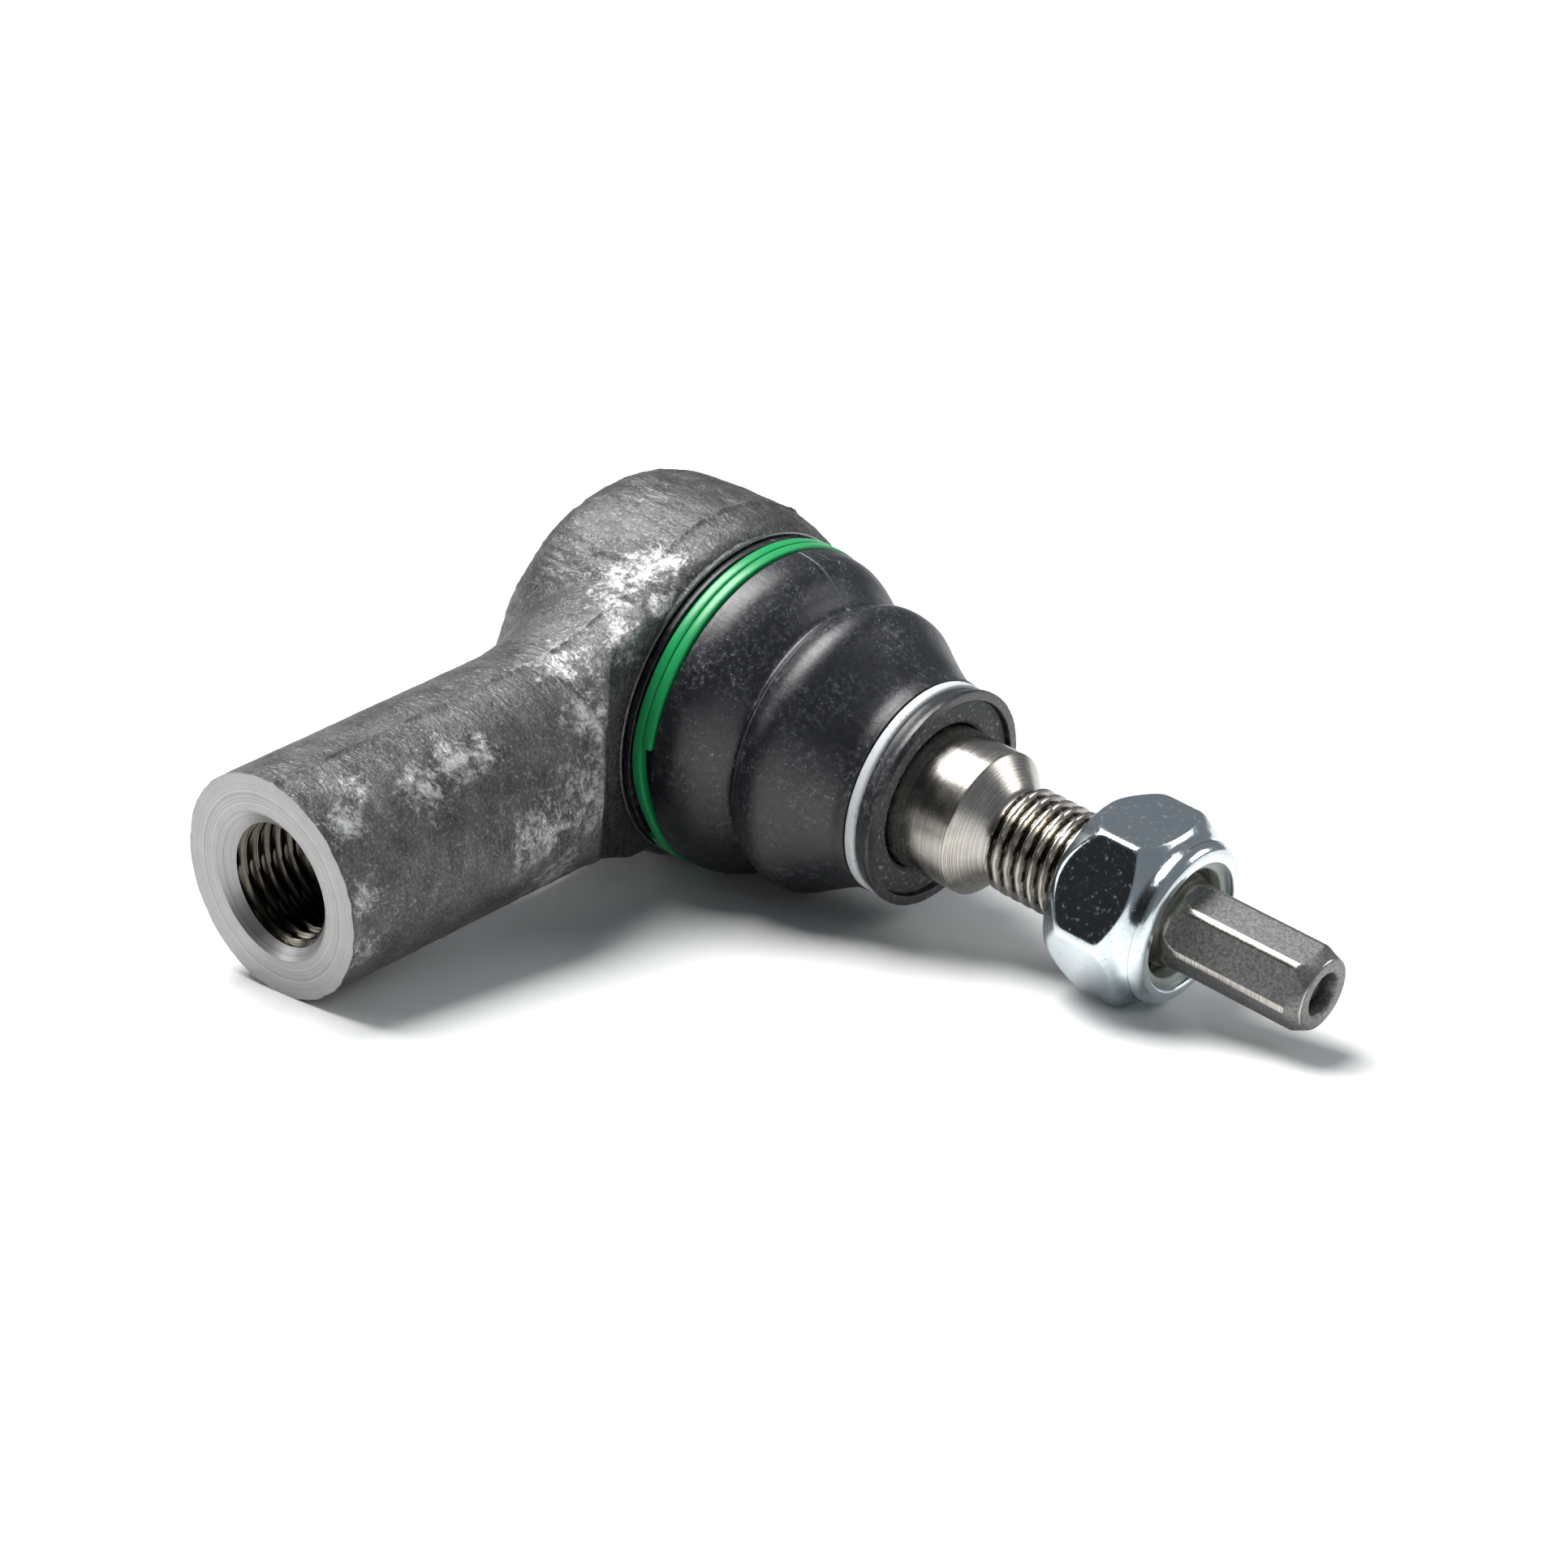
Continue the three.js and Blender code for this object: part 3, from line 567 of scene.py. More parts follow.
recess = as_object("recess_cutter", turned([
    (HEAD_FRONT, 0),
    (HEAD_FRONT, RECESS_RADIUS),
    (HEAD_FRONT + recess_depth, RECESS_RADIUS + RECESS_SLOPE * recess_depth),
    (HEAD_FRONT + recess_depth, 0),
]))
combine(head, recess, "DIFFERENCE")
with_modifier(head, "REMESH", mode="VOXEL", voxel_size=SKIN_VOXEL)
print("skin of the forging:", len(head.data.vertices), "vertices")

# %% [markdown]
# ### The forged skin
# Smoothing rounds the joins the way hot metal fills a die. The hammering is noise stretched
# across the head, a tenth of a millimetre deep, and finer and shallower on the shank. The
# scuffs are places in the joint's own directions, each with a reach, where this part has been
# knocked bright.

# %% Hammer the skin
SMOOTHING_ROUNDS = 4
RIDGE_HEIGHT = 0.34
RIDGE_WIDTH = 0.3
# The ridge raises the knock value, so its line comes out bright: partly bare metal, partly a
# painted highlight.
RIDGE_PAINTED_HIGHLIGHT = 1.6
CHIPPED_LENGTH = 1.6
SCUFFS = [
    ((-2.0, -13.3, 15.3), 3.4), ((-0.7, -11.1, 17.0), 3.2), ((1.0, -9.0, 18.2), 2.6),
    ((0.6, -15.4, 13.2), 3.0), ((4.4, -12.6, 15.6), 2.6), ((3.4, -18.4, 12.4), 3.2),
    ((2.0, -25.5, 12.1), 3.6), ((7.1, -49.9, 9.8), 3.0), ((6.4, -44.9, 10.3), 3.2),
    ((6.7, -41.8, 10.1), 2.4), ((7.2, -59.7, 9.7), 2.6), ((5.0, -57.0, 10.9), 2.2),
    ((11.4, -61.6, 3.6), 2.2), ((11.9, -61.8, -2.2), 2.4), ((8.2, -27.6, 8.8), 3.4),
    ((11.6, -30.5, 3.0), 4.4), ((11.8, -38.0, 1.0), 4.5), ((10.4, -34.5, -5.6), 4.0),
]


def forged_skin(shape):
    """Hammers a forging, raises its parting line, and returns each vertex's knock value, with a
    painted highlight along the ridge.
    """
    shape.normal_update()
    normals = {vertex: vertex.normal.copy() for vertex in shape.verts}
    knocks_and_ridge_highlights = []
    for vertex in shape.verts:
        place = vertex.co.copy()
        on_head = max(0.0, min(1.0, (place.y + 24) / 10))
        stretched = Vector((place.x * 0.32, (place.y + place.z) * 0.55, place.z * 0.3))
        hammer = noise.fractal(stretched, 0.8, 2.1, 4) * (0.03 + 0.13 * on_head)
        pits = noise.fractal(place * 0.9 + Vector((9, 4, 7)), 0.7, 2.0, 3) * 0.035
        radius = math.hypot(place.y, place.z)
        ridge = 0.0
        if radius > HEAD_RADIUS - 0.6 and place.x < HEAD_FRONT - 1:
            wander = noise.noise(Vector((0, place.y, place.z)) * 0.35) * 0.35
            offset = place.x - PARTING_PLANE - wander
            broken = 0.6 + 0.6 * noise.noise(Vector((3, place.y, place.z)) * 0.22)
            ridge = RIDGE_HEIGHT * max(broken, 0.1) * math.exp(-(offset / RIDGE_WIDTH) ** 2)
            ridge *= min(1.0, max(0.0, (place.z + 14) / 6))
            if offset > 0:
                ridge -= 0.12 * math.exp(-offset / 1.2)
        chip = 0.0
        if place.y < -SHANK_END + CHIPPED_LENGTH:
            depth = (-SHANK_END + CHIPPED_LENGTH - place.y) / CHIPPED_LENGTH
            bite = noise.noise(Vector((place.x, 0, place.z)) * 0.7 + Vector((5, 1, 2)))
            chip = -depth * max(0.0, bite * 0.25 + 0.006 * place.x)
        vertex.co = place + normals[vertex] * (hammer + pits + ridge + chip)
        knock = max(math.exp(-((place - Vector(spot)).length / reach) ** 2)
                    for spot, reach in SCUFFS)
        # The ridge adds a painted highlight to the knock value, on top of bare metal.
        knocks_and_ridge_highlights.append(min(1.0, knock + max(ridge, 0) * RIDGE_PAINTED_HIGHLIGHT))
    return knocks_and_ridge_highlights


skin = bmesh.new()
skin.from_mesh(head.data)
for _ in range(SMOOTHING_ROUNDS):
    bmesh.ops.smooth_vert(skin, verts=skin.verts, factor=0.5, use_axis_x=True,
                          use_axis_y=True, use_axis_z=True)
scuff_and_ridge_highlight_values = forged_skin(skin)
skin.to_mesh(head.data)
skin.free()
scuff_and_ridge_highlight = head.data.attributes.new("scuff_and_ridge_highlight", "FLOAT", "POINT")
scuff_and_ridge_highlight.data.foreach_set("value", scuff_and_ridge_highlight_values)
head.data.materials.clear()
for material in (FORGED, FACED, SHADED_THREAD):
    head.data.materials.append(material)
print("highest scuff value", round(max(scuff_and_ridge_highlight_values), 2))

# %% [markdown]
# ### Machined faces
# A cutter is a solid too. Its faces carry the material that the cut will show, so the end face
# comes out faced, and the bore's thread comes out dark grey, a painted shade in the bore. The
# thread's cutter is a turned bar whose radius rises and falls once for each pitch, shifted with
# the angle: that makes the helix.

# %% Thread profile
def thread(x, angle, crest, depth, pitch):
    """Radius of a metric thread with a rounded root and a small flat crest."""
    turn = (x / pitch - angle / (2 * math.pi)) % 1
    flank = min(1.0, max(0.0, (abs(2 * turn - 1) - 0.1) / 0.8))
    return crest - depth * flank * flank * (3 - 2 * flank)


# %% Cutters for the end face and the bore
def machine(shape, material_index, name):
    for face in shape.faces:
        face.material_index = material_index
    cutter = as_object(name, shape, (FORGED, FACED, SHADED_THREAD))
    combine(head, cutter, "DIFFERENCE")


facing = along_shank(turned([
    (SHANK_END, 0), (SHANK_END, 30), (SHANK_END + 2 * BEYOND, 30), (SHANK_END + 2 * BEYOND, 0),
], 48))
machine(facing, 1, "facing_cutter")

bore_end = SHANK_END - BORE_DEPTH
tap = turned([(bore_end - 3, 0)] + divided([
    (bore_end, BORE_RADIUS),
    (SHANK_END + BEYOND, BORE_RADIUS),
], BORE_PITCH / 9) + [(SHANK_END + BEYOND, 0)], 96)


def tapped(x, angle, radius):
    if x < bore_end + 0.2 or radius < BORE_RADIUS - 0.1:
        return radius
    crest = BORE_RADIUS + BORE_THREAD_DEPTH
    return thread(x, angle, crest, BORE_THREAD_DEPTH, BORE_PITCH)


reshape(tap, tapped)
machine(along_shank(tap), 2, "tap_cutter")
countersink = COUNTERSINK_RADIUS - BORE_RADIUS
sink = along_shank(turned([
    (SHANK_END - countersink - 1, 0),
    (SHANK_END - countersink, BORE_RADIUS - 0.3),
    (SHANK_END, COUNTERSINK_RADIUS),
    (SHANK_END + BEYOND, COUNTERSINK_RADIUS + BEYOND),
    (SHANK_END + BEYOND, 0),
], 96))
machine(sink, 1, "countersink_cutter")

# %% [markdown]
# ### Neck, rim and cavity
# The boot is clamped on a turned neck in front of the head. Round its flange stands a thin
# bright burr, left where the turning tool ran out. The ball's cavity is bored from behind, and
# its mouth is bored from the front, wide enough for the stud to swing.

# %% Add the neck
neck_shape = turned(eased([
    (NECK_END, 0),
    (NECK_END, NECK_RADIUS, 0.3),
    (HEAD_FRONT - 0.4, NECK_RADIUS),
    (HEAD_FRONT - 0.4, FLANGE_RADIUS + 0.05),
    (HEAD_FRONT + 0.42, FLANGE_RADIUS + 0.08),
    (HEAD_FRONT + 0.36, FLANGE_RADIUS + 0.3, 0.1),
    (HEAD_FRONT - 0.4, FLANGE_RADIUS + 0.42),
    (HEAD_FRONT - 2, FLANGE_RADIUS + 0.42),
    (HEAD_FRONT - 2, 0),
]), 192)
for face in neck_shape.faces:
    middle = face.calc_center_median()
    outer = math.hypot(middle.y, middle.z) > FLANGE_RADIUS + 0.22
    face.material_index = 0 if outer else 1
neck = as_object("neck_ring", neck_shape, (FORGED, FACED, SHADED_THREAD))
combine(head, neck, "UNION")

# %% Bore the cavity and its mouth
SEAT_BORE = 14.6
COVER_SEAT = 15.5
COVER_BACK = 14.9
COVER_FRONT = 12.7
SEAT_NOSE = 12.83
SEAT_STOP = 6.8
cavity = turned([
    (-HEAD_BACK - BEYOND, 0),
    (-HEAD_BACK - BEYOND, SEAT_BORE - 0.3),
    (-COVER_BACK, SEAT_BORE - 0.3),
    (-COVER_BACK, COVER_SEAT),
    (-COVER_FRONT, COVER_SEAT),
    (-COVER_FRONT, SEAT_BORE),
    (SEAT_STOP - SEAT_BORE + SEAT_NOSE, SEAT_BORE),
    (SEAT_STOP, SEAT_NOSE),
    (SEAT_STOP, 0),
])
machine(cavity, 1, "cavity_cutter")
mouth = turned([
    (SEAT_STOP - 1, 0),
    (SEAT_STOP - 1, MOUTH_RADIUS),
    (NECK_END - 1, MOUTH_RADIUS),
    (NECK_END + BEYOND, MOUTH_RADIUS + 2.4),
    (NECK_END + BEYOND, 0),
])
machine(mouth, 1, "mouth_cutter")

# %% Finish the housing
housing_shape = bmesh.new()
housing_shape.from_mesh(head.data)
bmesh.ops.remove_doubles(housing_shape, verts=housing_shape.verts, dist=1e-5)
bpy.data.objects.remove(head)
housing = as_object("housing_forged", housing_shape, (FORGED, FACED, SHADED_THREAD))
place(housing, "housing", "housing", "forged_steel")

# %% [markdown]
# ## Ball seats, spring and cover
# Behind the boot the ball sits in two moulded seats. A disc spring presses them on the ball,
# and a sheet cover, rolled in at the back, holds it all. They are plain turned pieces, but
# they show from behind and in the cut-open part, so each has its true section.

# %% Seats
BALL_RADIUS = 12.5
SEAT_INNER = BALL_RADIUS + 0.1
SEAT_OUTER = 14.45


def bowl(start, end, steps=14):
    """Points on the inside of a seat, from one x to another."""
    line = [start + (end - start) * i / steps for i in range(steps + 1)]
    return [(x, math.sqrt(SEAT_INNER ** 2 - x ** 2)) for x in line]


front_seat = as_object("ball_seat_front_moulded", turned(bowl(6.5, 0.5) + eased([
    (0.5, SEAT_OUTER, 0.3), (4.6, SEAT_OUTER, 0.6), (6.5, SEAT_NOSE - 0.3, 0.3),
])), (ACETAL,))
place(front_seat, "housing", "ball_seat_front", "seat_plastic")
rear_seat = as_object("ball_seat_rear_moulded", turned(bowl(-0.5, -10.2) + eased([
    (-11.2, 7.9, 0.3), (-11.2, SEAT_OUTER, 0.8), (-0.5, SEAT_OUTER, 0.3),
])), (ACETAL,))
place(rear_seat, "housing", "ball_seat_rear", "seat_plastic")

# %% Spring and cover
spring = as_object("disc_spring_coned", turned(eased([
    (-11.5, 8.2, 0.15), (-12.1, 13.6, 0.15), (-12.65, 13.6, 0.15), (-12.1, 8.2, 0.15),
])), (SPRING,))
place(spring, "housing", "disc_spring", "spring_steel")
cover = as_object("end_cover_pressed", turned([(-13.45, 0)] + eased([
    (-13.45, 7.0, 0.6), (-12.95, 8.6, 0.6), (-12.95, 15.3, 0.3), (-14.6, 15.3, 0.5),
    (-14.6, 9.2, 0.6), (-15.1, 7.6, 0.6),
]) + [(-15.1, 0)]), (COVER,))
place(cover, "housing", "end_cover", "pressed_steel")

# %% [markdown]
# ## Boot
# The boot is a moulded rubber bellows with two folds. It is made as two pieces that share one
# outline and meet in the valley.

# %% Outline of the boot
FLANGE_END = 9.23
GROOVE_START = 6.07
GROOVE_RADIUS = 17.25
VALLEY = 16.9
VALLEY_RADIUS = 14.9
FOLD = 19.9
FOLD_RADIUS = 16.3
LIP_RADIUS = 12.2
LIP_OPENING = 11.15
SMALL_RING_START = 30.2
SMALL_RING_END = 31.45
SMALL_GROOVE_RADIUS = 10.85
INSERT_SEAT = 32.1
STUD_OPENING = 8.25

outer_folds = flowing([
    (FLANGE_END + 0.4, FLANGE_RADIUS - 0.02), (11.6, 18.3), (13.6, 17.4), (15.3, 16.1),
    (VALLEY, VALLEY_RADIUS), (18.3, 15.7), (FOLD, FOLD_RADIUS), (21.7, 16.1),
    (24.1, 14.7), (26.6, 13.3), (28.4, 12.45), (SMALL_RING_START - 0.5, LIP_RADIUS),
], 7)
inner_folds = flowing([
    (9.3, 16.5), (11.6, 16.1), (13.4, 15.3), (15.0, 14.2), (VALLEY - 0.1, 13.2), (18.6, 13.9),
    (19.9, 14.4), (21.4, 14.2), (23.8, 12.9), (26.0, 11.7), (27.6, 10.2), (28.6, STUD_OPENING),
], 5)
lower_outer = [point for point in outer_folds if point.x < VALLEY - 0.01]
upper_outer = [point for point in outer_folds if point.x > VALLEY + 0.01]
lower_inner = [point for point in inner_folds if point.x < VALLEY - 0.2]
upper_inner = [point for point in inner_folds if point.x > VALLEY + 0.2]
seam = [(VALLEY, VALLEY_RADIUS), (VALLEY, 13.25)]
print("boot outline:", len(outer_folds) + len(inner_folds), "points")


# %% Turn the two halves
def handled(x, angle, radius):
    """Moulded rubber is never quite round: it wanders by a few hundredths."""
    place = Vector((x, radius * math.cos(angle), radius * math.sin(angle)))
    calm = min(1.0, max(0.0, (x - 10.5) / 3)) * min(1.0, max(0.0, (29 - x) / 3))
    at_lip = max(0.0, x - BOOT_END + 0.5) * (radius > LIP_RADIUS - 0.5)
    flash = at_lip * 0.16 * noise.noise(place * 1.6)
    return radius + noise.noise(place * 0.16) * 0.16 * calm + flash


def remember(piece):
    """Keeps each vertex's place in the mould, in the drawing's millimetres."""
    places = [value for vertex in piece.data.vertices for value in vertex.co]
    moulded_at = piece.data.attributes.new("moulded_at", "FLOAT_VECTOR", "POINT")
    moulded_at.data.foreach_set("vector", places)


lower = turned(lower_outer + seam + lower_inner[::-1] + eased([
    (BOOT_START + 0.02, 16.45, 0.2), (BOOT_START + 0.02, FLANGE_RADIUS - 0.25, 0.25),
    (GROOVE_START - 0.1, FLANGE_RADIUS, 0.25), (GROOVE_START, GROOVE_RADIUS, 0.2),
    (FLANGE_END, GROOVE_RADIUS, 0.2), (FLANGE_END + 0.1, FLANGE_RADIUS, 0.12),
]), 192)
reshape(lower, handled)
boot_lower = as_object("boot_lower_fold", lower, (RUBBER,), math.radians(50))
remember(boot_lower)
place(boot_lower, None, "boot", "boot_rubber")
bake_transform(boot_lower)

upper = turned(upper_outer + eased([
    (SMALL_RING_START - 0.05, LIP_RADIUS, 0.1),
    (SMALL_RING_START - 0.05, SMALL_GROOVE_RADIUS, 0.1),
    (SMALL_RING_END + 0.05, SMALL_GROOVE_RADIUS, 0.1),
    (SMALL_RING_END + 0.05, LIP_RADIUS - 0.5, 0.15),
    (32.3, LIP_RADIUS - 0.35, 0.3),
    (BOOT_END - 0.6, LIP_RADIUS, 0.25), (BOOT_END, LIP_RADIUS, 0.12),
    (BOOT_END, LIP_OPENING, 0.12), (INSERT_SEAT, LIP_OPENING - 0.05, 0.1),
    (INSERT_SEAT, STUD_OPENING, 0.1),
]) + upper_inner[::-1] + seam[::-1], 192)
reshape(upper, handled)
boot_upper = as_object("boot_upper_fold", upper, (RUBBER,), math.radians(50))
remember(boot_upper)
place(boot_upper, None, "boot", "boot_rubber")
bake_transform(boot_upper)

# %% [markdown]
# ## Clamp ring
# Spring wire with a green coat is wound nearly twice round the flange. Its section is nearly
# square, with rounded corners. The wire is made by spinning that section, three times: one flat
# turn, a crossover of 42 degrees in which each small step of the spin also moves sideways, and a
# second flat turn.

# %% Wind the clamp ring
WIRE_RADIUS = 0.6
WIRE_PITCH = 1.27
RING_CENTRE = 7.65
RING_RADIUS = 18.2
RING_FIRST_END = math.radians(216)
RING_GAP = math.radians(42)
TURN = 2 * math.pi - RING_GAP

wire = bmesh.new()
bmesh.ops.create_circle(wire, segments=24, radius=WIRE_RADIUS, cap_ends=False)
for vertex in wire.verts:
    flatness = 1 / (abs(vertex.co.x) ** 5 + abs(vertex.co.y) ** 5) ** (1 / 5)
    vertex.co *= WIRE_RADIUS * flatness
bmesh.ops.rotate(wire, verts=wire.verts, matrix=Matrix.Rotation(math.pi / 2, 3, "X"))
bmesh.ops.translate(wire, verts=wire.verts,
                    vec=(RING_CENTRE - WIRE_PITCH / 2, 0, RING_RADIUS))
bmesh.ops.rotate(wire, verts=wire.verts,
                 matrix=Matrix.Rotation(RING_FIRST_END - math.pi / 2, 3, "X"))
end = list(wire.verts) + list(wire.edges)
CROSSING_STEPS = 14
sideways = [0.0]
for step in range(1, CROSSING_STEPS + 1):
    t = step / CROSSING_STEPS
    sideways.append(WIRE_PITCH * t * t * (3 - 2 * t))
stages = [(TURN, 106, 0.0)]
stages += [(RING_GAP / CROSSING_STEPS, 1, after - before)
           for before, after in zip(sideways, sideways[1:])]
stages += [(TURN, 106, 0.0)]
for angle, steps, shift in stages:
    spun = bmesh.ops.spin(wire, geom=end, cent=(0, 0, 0), axis=(1, 0, 0), angle=angle,
                          steps=steps, dvec=(shift, 0, 0), use_duplicate=False)
    end = spun["geom_last"]
rims = [edge for edge in wire.edges if edge.is_boundary]
bmesh.ops.holes_fill(wire, edges=rims, sides=0)
bmesh.ops.recalc_face_normals(wire, faces=wire.faces)
clamp_ring = as_object("boot_ring_large_wound", wire, (GREEN_COAT,), math.radians(40))
place(clamp_ring, "housing", "boot_ring_large", "coated_wire")

# %% [markdown]
# ## Small ring and collar
# A pale polymer ring holds the boot's lip on the stud. Inside the lip a gritty bonded collar
# runs on the stud. Its grit is real relief: each vertex of its front moves a little.

# %% Small ring and collar
small_ring = as_object("boot_ring_small_moulded", turned(eased([
    (SMALL_RING_START, SMALL_GROOVE_RADIUS + 0.1, 0.1), (SMALL_RING_START, 12.02, 0.35),
    (SMALL_RING_END, 12.05, 0.35), (SMALL_RING_END, SMALL_GROOVE_RADIUS + 0.1, 0.1),
]), 160), (RING_POLYMER,))
place(small_ring, "boot_neck", "boot_ring_small", "ring_plastic")

COLLAR_BACK = 32.2
COLLAR_FRONT = 32.9
collar_shape = turned(divided([(COLLAR_BACK, STUD_OPENING), (COLLAR_BACK, LIP_OPENING - 0.1)], 0.6)
                      + divided([(COLLAR_FRONT, LIP_OPENING - 0.1), (COLLAR_FRONT, 8.6),
                                 (COLLAR_FRONT - 0.3, STUD_OPENING)], 0.16), 320)
for vertex in collar_shape.verts:
    if vertex.co.x > COLLAR_FRONT - 0.1:
        vertex.co.x += noise.fractal(vertex.co * 2.4, 0.6, 2.0, 3) * 0.07
collar = as_object("boot_collar_bonded", collar_shape, (BONDED_GRIT,), math.radians(60))
place(collar, "boot_neck", "boot_neck_insert", "insert_plastic")

# %% [markdown]
# ## Ball stud
# The stud is turned from bar: ball, neck, plain shank, thread, and a hexagon that a spanner
# holds. One outline gives it all. The thread and the hexagon aren't round, so the turned
# shape is then reshaped: the thread lowers the radius along its helix, and the hexagon takes
# the smaller of the bar's radius and the distance to its flats.

# %% Rules for what isn't round
def smaller(a, b, blend):
    """The smaller of two values, eased over a small blend where they cross."""
    overlap = max(blend - abs(a - b), 0) / blend
    return min(a, b) - overlap * overlap * blend / 4


def hexagon(angle, half_flats, corner):
    """Distance from the axis to a hexagon's side, in the direction of the angle."""
    off_middle = (angle - corner) % (math.pi / 3) - math.pi / 6
    return half_flats / math.cos(off_middle)


# %% Turn the stud
STUD_RADIUS = 8.0
STUD_NECK = 6.4
STUD_SHOULDER = 40.1
THREAD_RADIUS = 5.92
THREAD_DEPTH = 0.86
THREAD_PITCH = 1.5
THREAD_START = 43.3
THREAD_END = 64.6
DRIVE_HALF_FLATS = 4.15
DRIVE_RADIUS = 4.62
DRIVE_CORNER = math.radians(7)
DRIVE_START = 67.4
MILL_RADIUS = 6.0
TIP_HOLE = 2.35

ball_back = -math.sqrt(BALL_RADIUS ** 2 - 36)
ball_front = math.sqrt(BALL_RADIUS ** 2 - STUD_NECK ** 2)
back_angle = math.acos(ball_back / BALL_RADIUS)
front_angle = math.acos(ball_front / BALL_RADIUS)
ball_angles = [back_angle + (front_angle - back_angle) * i / 30 for i in range(31)]
ball_line = [(BALL_RADIUS * math.cos(a), BALL_RADIUS * math.sin(a)) for a in ball_angles]
plain = eased([
    (ball_front + 0.5, STUD_NECK), (22.5, STUD_NECK, 1.0), (25.5, STUD_RADIUS, 0.8),
    (STUD_SHOULDER, STUD_RADIUS, 0.14), (42.9, 5.0, 0.7), (THREAD_START, 5.0),
])
threaded = divided([(THREAD_START, 5.0), (THREAD_START + 0.7, THREAD_RADIUS),
                    (THREAD_END - 0.8, THREAD_RADIUS), (THREAD_END, 4.75)], THREAD_PITCH / 14)
drive = divided([(THREAD_END + 0.3, DRIVE_RADIUS), (DRIVE_START + 1.6, DRIVE_RADIUS)], 0.16)
tip = eased([
    (STUD_TIP - 9, DRIVE_RADIUS), (STUD_TIP - 1.75, DRIVE_RADIUS, 0.25),
    (STUD_TIP, 3.8, 0.25), (STUD_TIP, TIP_HOLE, 0.4), (STUD_TIP - 1.3, TIP_HOLE - 0.3, 0.5),
])
outline = [(ball_back, 0)] + ball_line + plain + threaded[1:] + drive + tip
stud_shape = turned(outline + [(STUD_TIP - 2.6, 0)], 216)


def stud_section(x, angle, radius):
    """Cuts the helix of the thread and the flats of the drive."""
    if THREAD_START - 0.1 < x < THREAD_END + 0.1:
        cut = thread(x, angle, THREAD_RADIUS, THREAD_DEPTH, THREAD_PITCH)
        return smaller(radius, cut, 0.12)
    if x > THREAD_END + 0.2:
        short = max(0.0, DRIVE_START - x)
        rise = MILL_RADIUS - math.sqrt(max(MILL_RADIUS ** 2 - short ** 2, 0))
        return smaller(radius, hexagon(angle, DRIVE_HALF_FLATS + rise, DRIVE_CORNER), 0.05)
    return radius


reshape(stud_shape, stud_section)
for face in stud_shape.faces:
    middle = face.calc_center_median()
    radius = math.hypot(middle.y, middle.z)
    on_flat = 65.5 < middle.x < STUD_TIP - 0.8 and 4.0 < radius < DRIVE_RADIUS - 0.055
    on_end = middle.x > STUD_TIP - 0.06 or (middle.x > 75 and radius < TIP_HOLE + 0.2)
    # Faces in the thread's roots take the dark thread material: painted shade in the grooves.
    shaded_thread_root = THREAD_START < middle.x < THREAD_END and radius < THREAD_RADIUS - 0.5
    face.material_index = 2 if shaded_thread_root else 1 if on_flat or on_end else 0
stud = as_object("ball_stud_turned", stud_shape, (TURNED, PRESSED_FLAT, SHADED_THREAD),
                 math.radians(28))
place(stud, "stud", "ball_stud", "turned_steel")

# %% [markdown]
# ## Lock nut and its insert
# A prevailing-torque nut: a 19 mm hexagon with a steep chamfer at its bearing face, and a
# rolled collar that holds a nylon ring. It is turned as a round blank with the nut's
# outline, and the hexagon's flats are then taken off, eased so that the plated edges are soft.

# %% Turn the nut
NUT_HALF_FLATS = 9.5
NUT_CORNER_RADIUS = 10.8
NUT_BORE = 6.02
NYLON_OUTER = 8.0
NYLON_BACK = NUT_END - 3.25
NYLON_FRONT = NUT_END - 0.85
COLLAR_RADIUS = 8.9
NUT_OPENING = 6.96

nut_outside = divided(eased([
    (NUT_SEAT, 9.2, 0.15), (NUT_SEAT + 2.75, NUT_CORNER_RADIUS, 0.7),
    (NUT_SEAT + 7.6, NUT_CORNER_RADIUS, 0.5), (NUT_SEAT + 9.3, 8.95, 0.5),
    (NUT_SEAT + 10.0, COLLAR_RADIUS, 0.4), (NUT_END, COLLAR_RADIUS, 1.6),
    (NUT_END, NUT_OPENING, 0.35), (NUT_END - 0.75, NUT_OPENING, 0.15),
]), 0.2)
nut_inside = eased([
    (NYLON_FRONT + 0.1, NUT_OPENING), (NYLON_FRONT + 0.1, NYLON_OUTER + 0.1),
    (NYLON_BACK - 0.1, NYLON_OUTER + 0.1), (NYLON_BACK - 0.1, NUT_BORE),
    (NUT_SEAT + 0.7, NUT_BORE), (NUT_SEAT, NUT_BORE + 0.9, 0.1),
])
nut_shape = turned(nut_outside + nut_inside, 360)


def nut_section(x, angle, radius):
    """Takes the six flats off the nut."""
    return smaller(radius, hexagon(angle, NUT_HALF_FLATS, 0), 0.22)


reshape(nut_shape, nut_section)
nut = as_object("lock_nut_plated", nut_shape, (ZINC,), math.radians(40))
place(nut, "nut", "lock_nut", "zinc_plated_steel")

nylon = as_object("nylon_insert_moulded", turned(eased([
    (NYLON_BACK, 6.02, 0.2), (NYLON_BACK, NYLON_OUTER, 0.3), (NYLON_FRONT, NYLON_OUTER, 0.3),
    (NYLON_FRONT, 6.0, 0.3),
]), 128), (NYLON,))
place(nylon, "nut_thread", "nylon_insert", "nylon")

# %% [markdown]
# ## Floor and light
# The part lies on a seamless white table. Polished steel shows its surroundings, so the studio
# is made for it: a wide soft light overhead, a weak one to the left, another behind and to the
# right, and a dim room in front, which the dark faces of the nut and the dark bands on the stud
# reflect. Away from the part
# the table is lifted to white, so that no horizon shows.

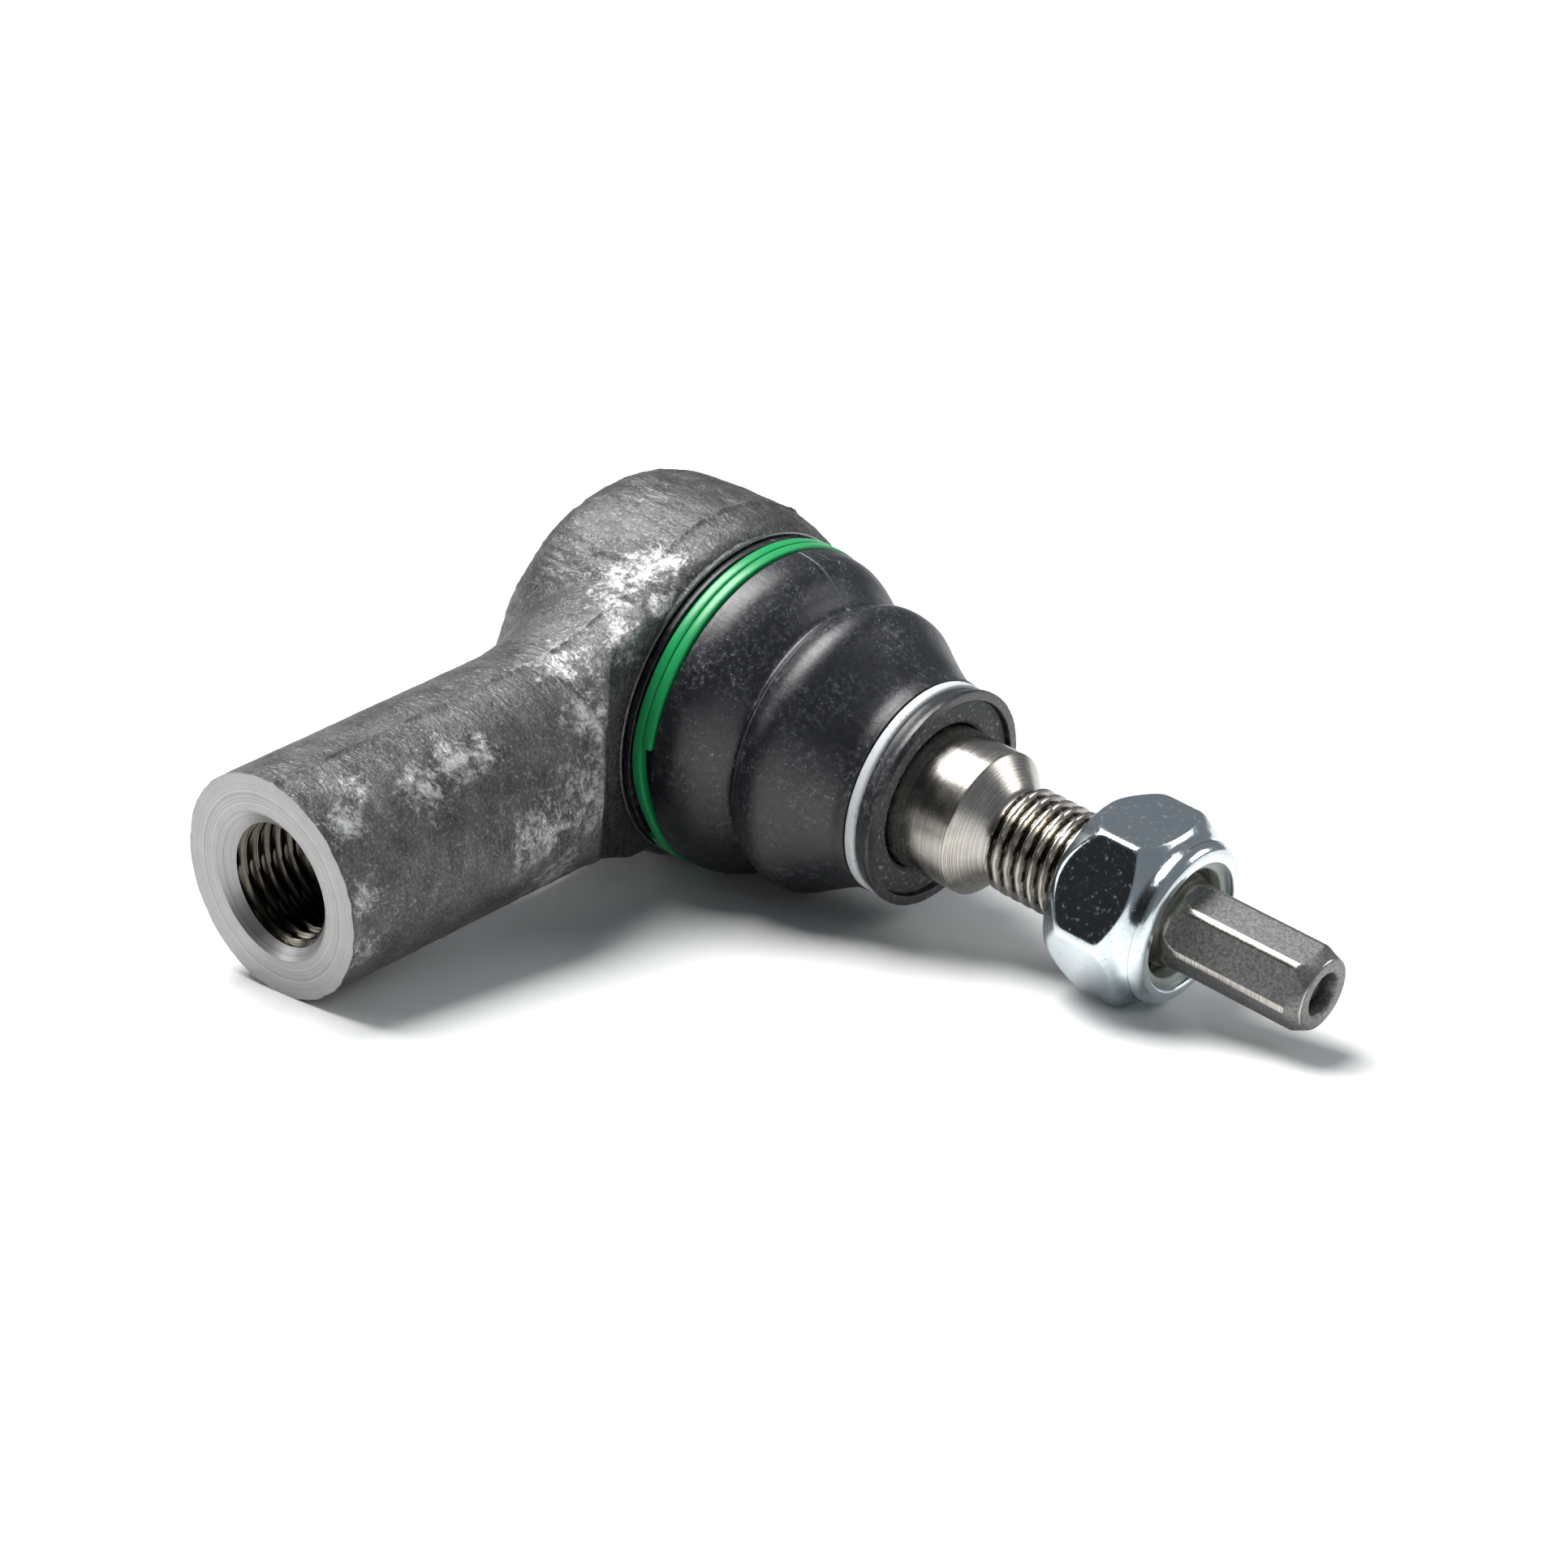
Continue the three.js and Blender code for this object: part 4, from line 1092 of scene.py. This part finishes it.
# %% Floor
floor_mesh = bmesh.new()
bmesh.ops.create_grid(floor_mesh, x_segments=1, y_segments=1, size=3)
floor = as_object("floor", floor_mesh)
table_top, tree, _ = new_material("table_white_laminate")
spot = add(tree, "TexCoord").outputs["Object"]
distance = add(tree, "VectorMath", {0: spot}, operation="LENGTH").outputs["Value"]
lift = add(tree, "MapRange", {"Value": distance, "From Min": 0.16, "From Max": 0.7,
                              "To Min": 0, "To Max": 1.0}).outputs[0]
set_surface(tree, {"Base Color": linear("#fafaf9"), "Roughness": 0.3,
                   "Emission Color": linear("#ffffff"), "Emission Strength": lift})
floor.data.materials.append(table_top)


# %% Lights
def soft_light(name, place_at, look_at, width, height, watts):
    """A rectangular soft light of a given size in metres."""
    data = bpy.data.lights.new(name, "AREA")
    data.shape = "RECTANGLE"
    data.size = width
    data.size_y = height
    data.energy = watts
    light = bpy.data.objects.new(name, data)
    bpy.context.scene.collection.objects.link(light)
    facing_to = (Vector(look_at) - Vector(place_at)).to_track_quat("-Z", "Y")
    light.matrix_world = Matrix.Translation(place_at) @ facing_to.to_matrix().to_4x4()


soft_light("overhead", (-0.35, -0.06, 0.83), (0, 0, 0), 0.6, 0.6, 15)
soft_light("left", (-0.8, -0.55, 0.25), (0, 0, 0.02), 0.3, 0.4, 1.8)
soft_light("back_right", (0.7, 0.75, 0.6), (0, 0, 0.02), 0.5, 0.5, 3)

world = bpy.data.worlds.new("studio")
bpy.context.scene.world = world
world.use_nodes = True
room = world.node_tree
room.nodes.clear()
DARK_SIDE = (-0.49, -0.82, 0.29)
direction = add(room, "TexCoord").outputs["Generated"]
towards_dark = add(room, "VectorMath", {0: direction, 1: DARK_SIDE}, operation="DOT_PRODUCT")
dim = add(room, "MapRange", {"Value": towards_dark.outputs["Value"], "From Min": 0.35,
                             "From Max": 0.9, "To Min": 0.28, "To Max": 0.02}).outputs[0]
seen = add(room, "LightPath").outputs["Is Camera Ray"]
brightness = add(room, "Math", {0: seen, 1: dim}, operation="MAXIMUM").outputs[0]
backdrop = add(room, "Background", {"Color": linear("#e3ebf4"), "Strength": brightness})
add(room, "OutputWorld", {"Surface": backdrop.outputs[0]})
bpy.context.scene.view_settings.view_transform = "Standard"
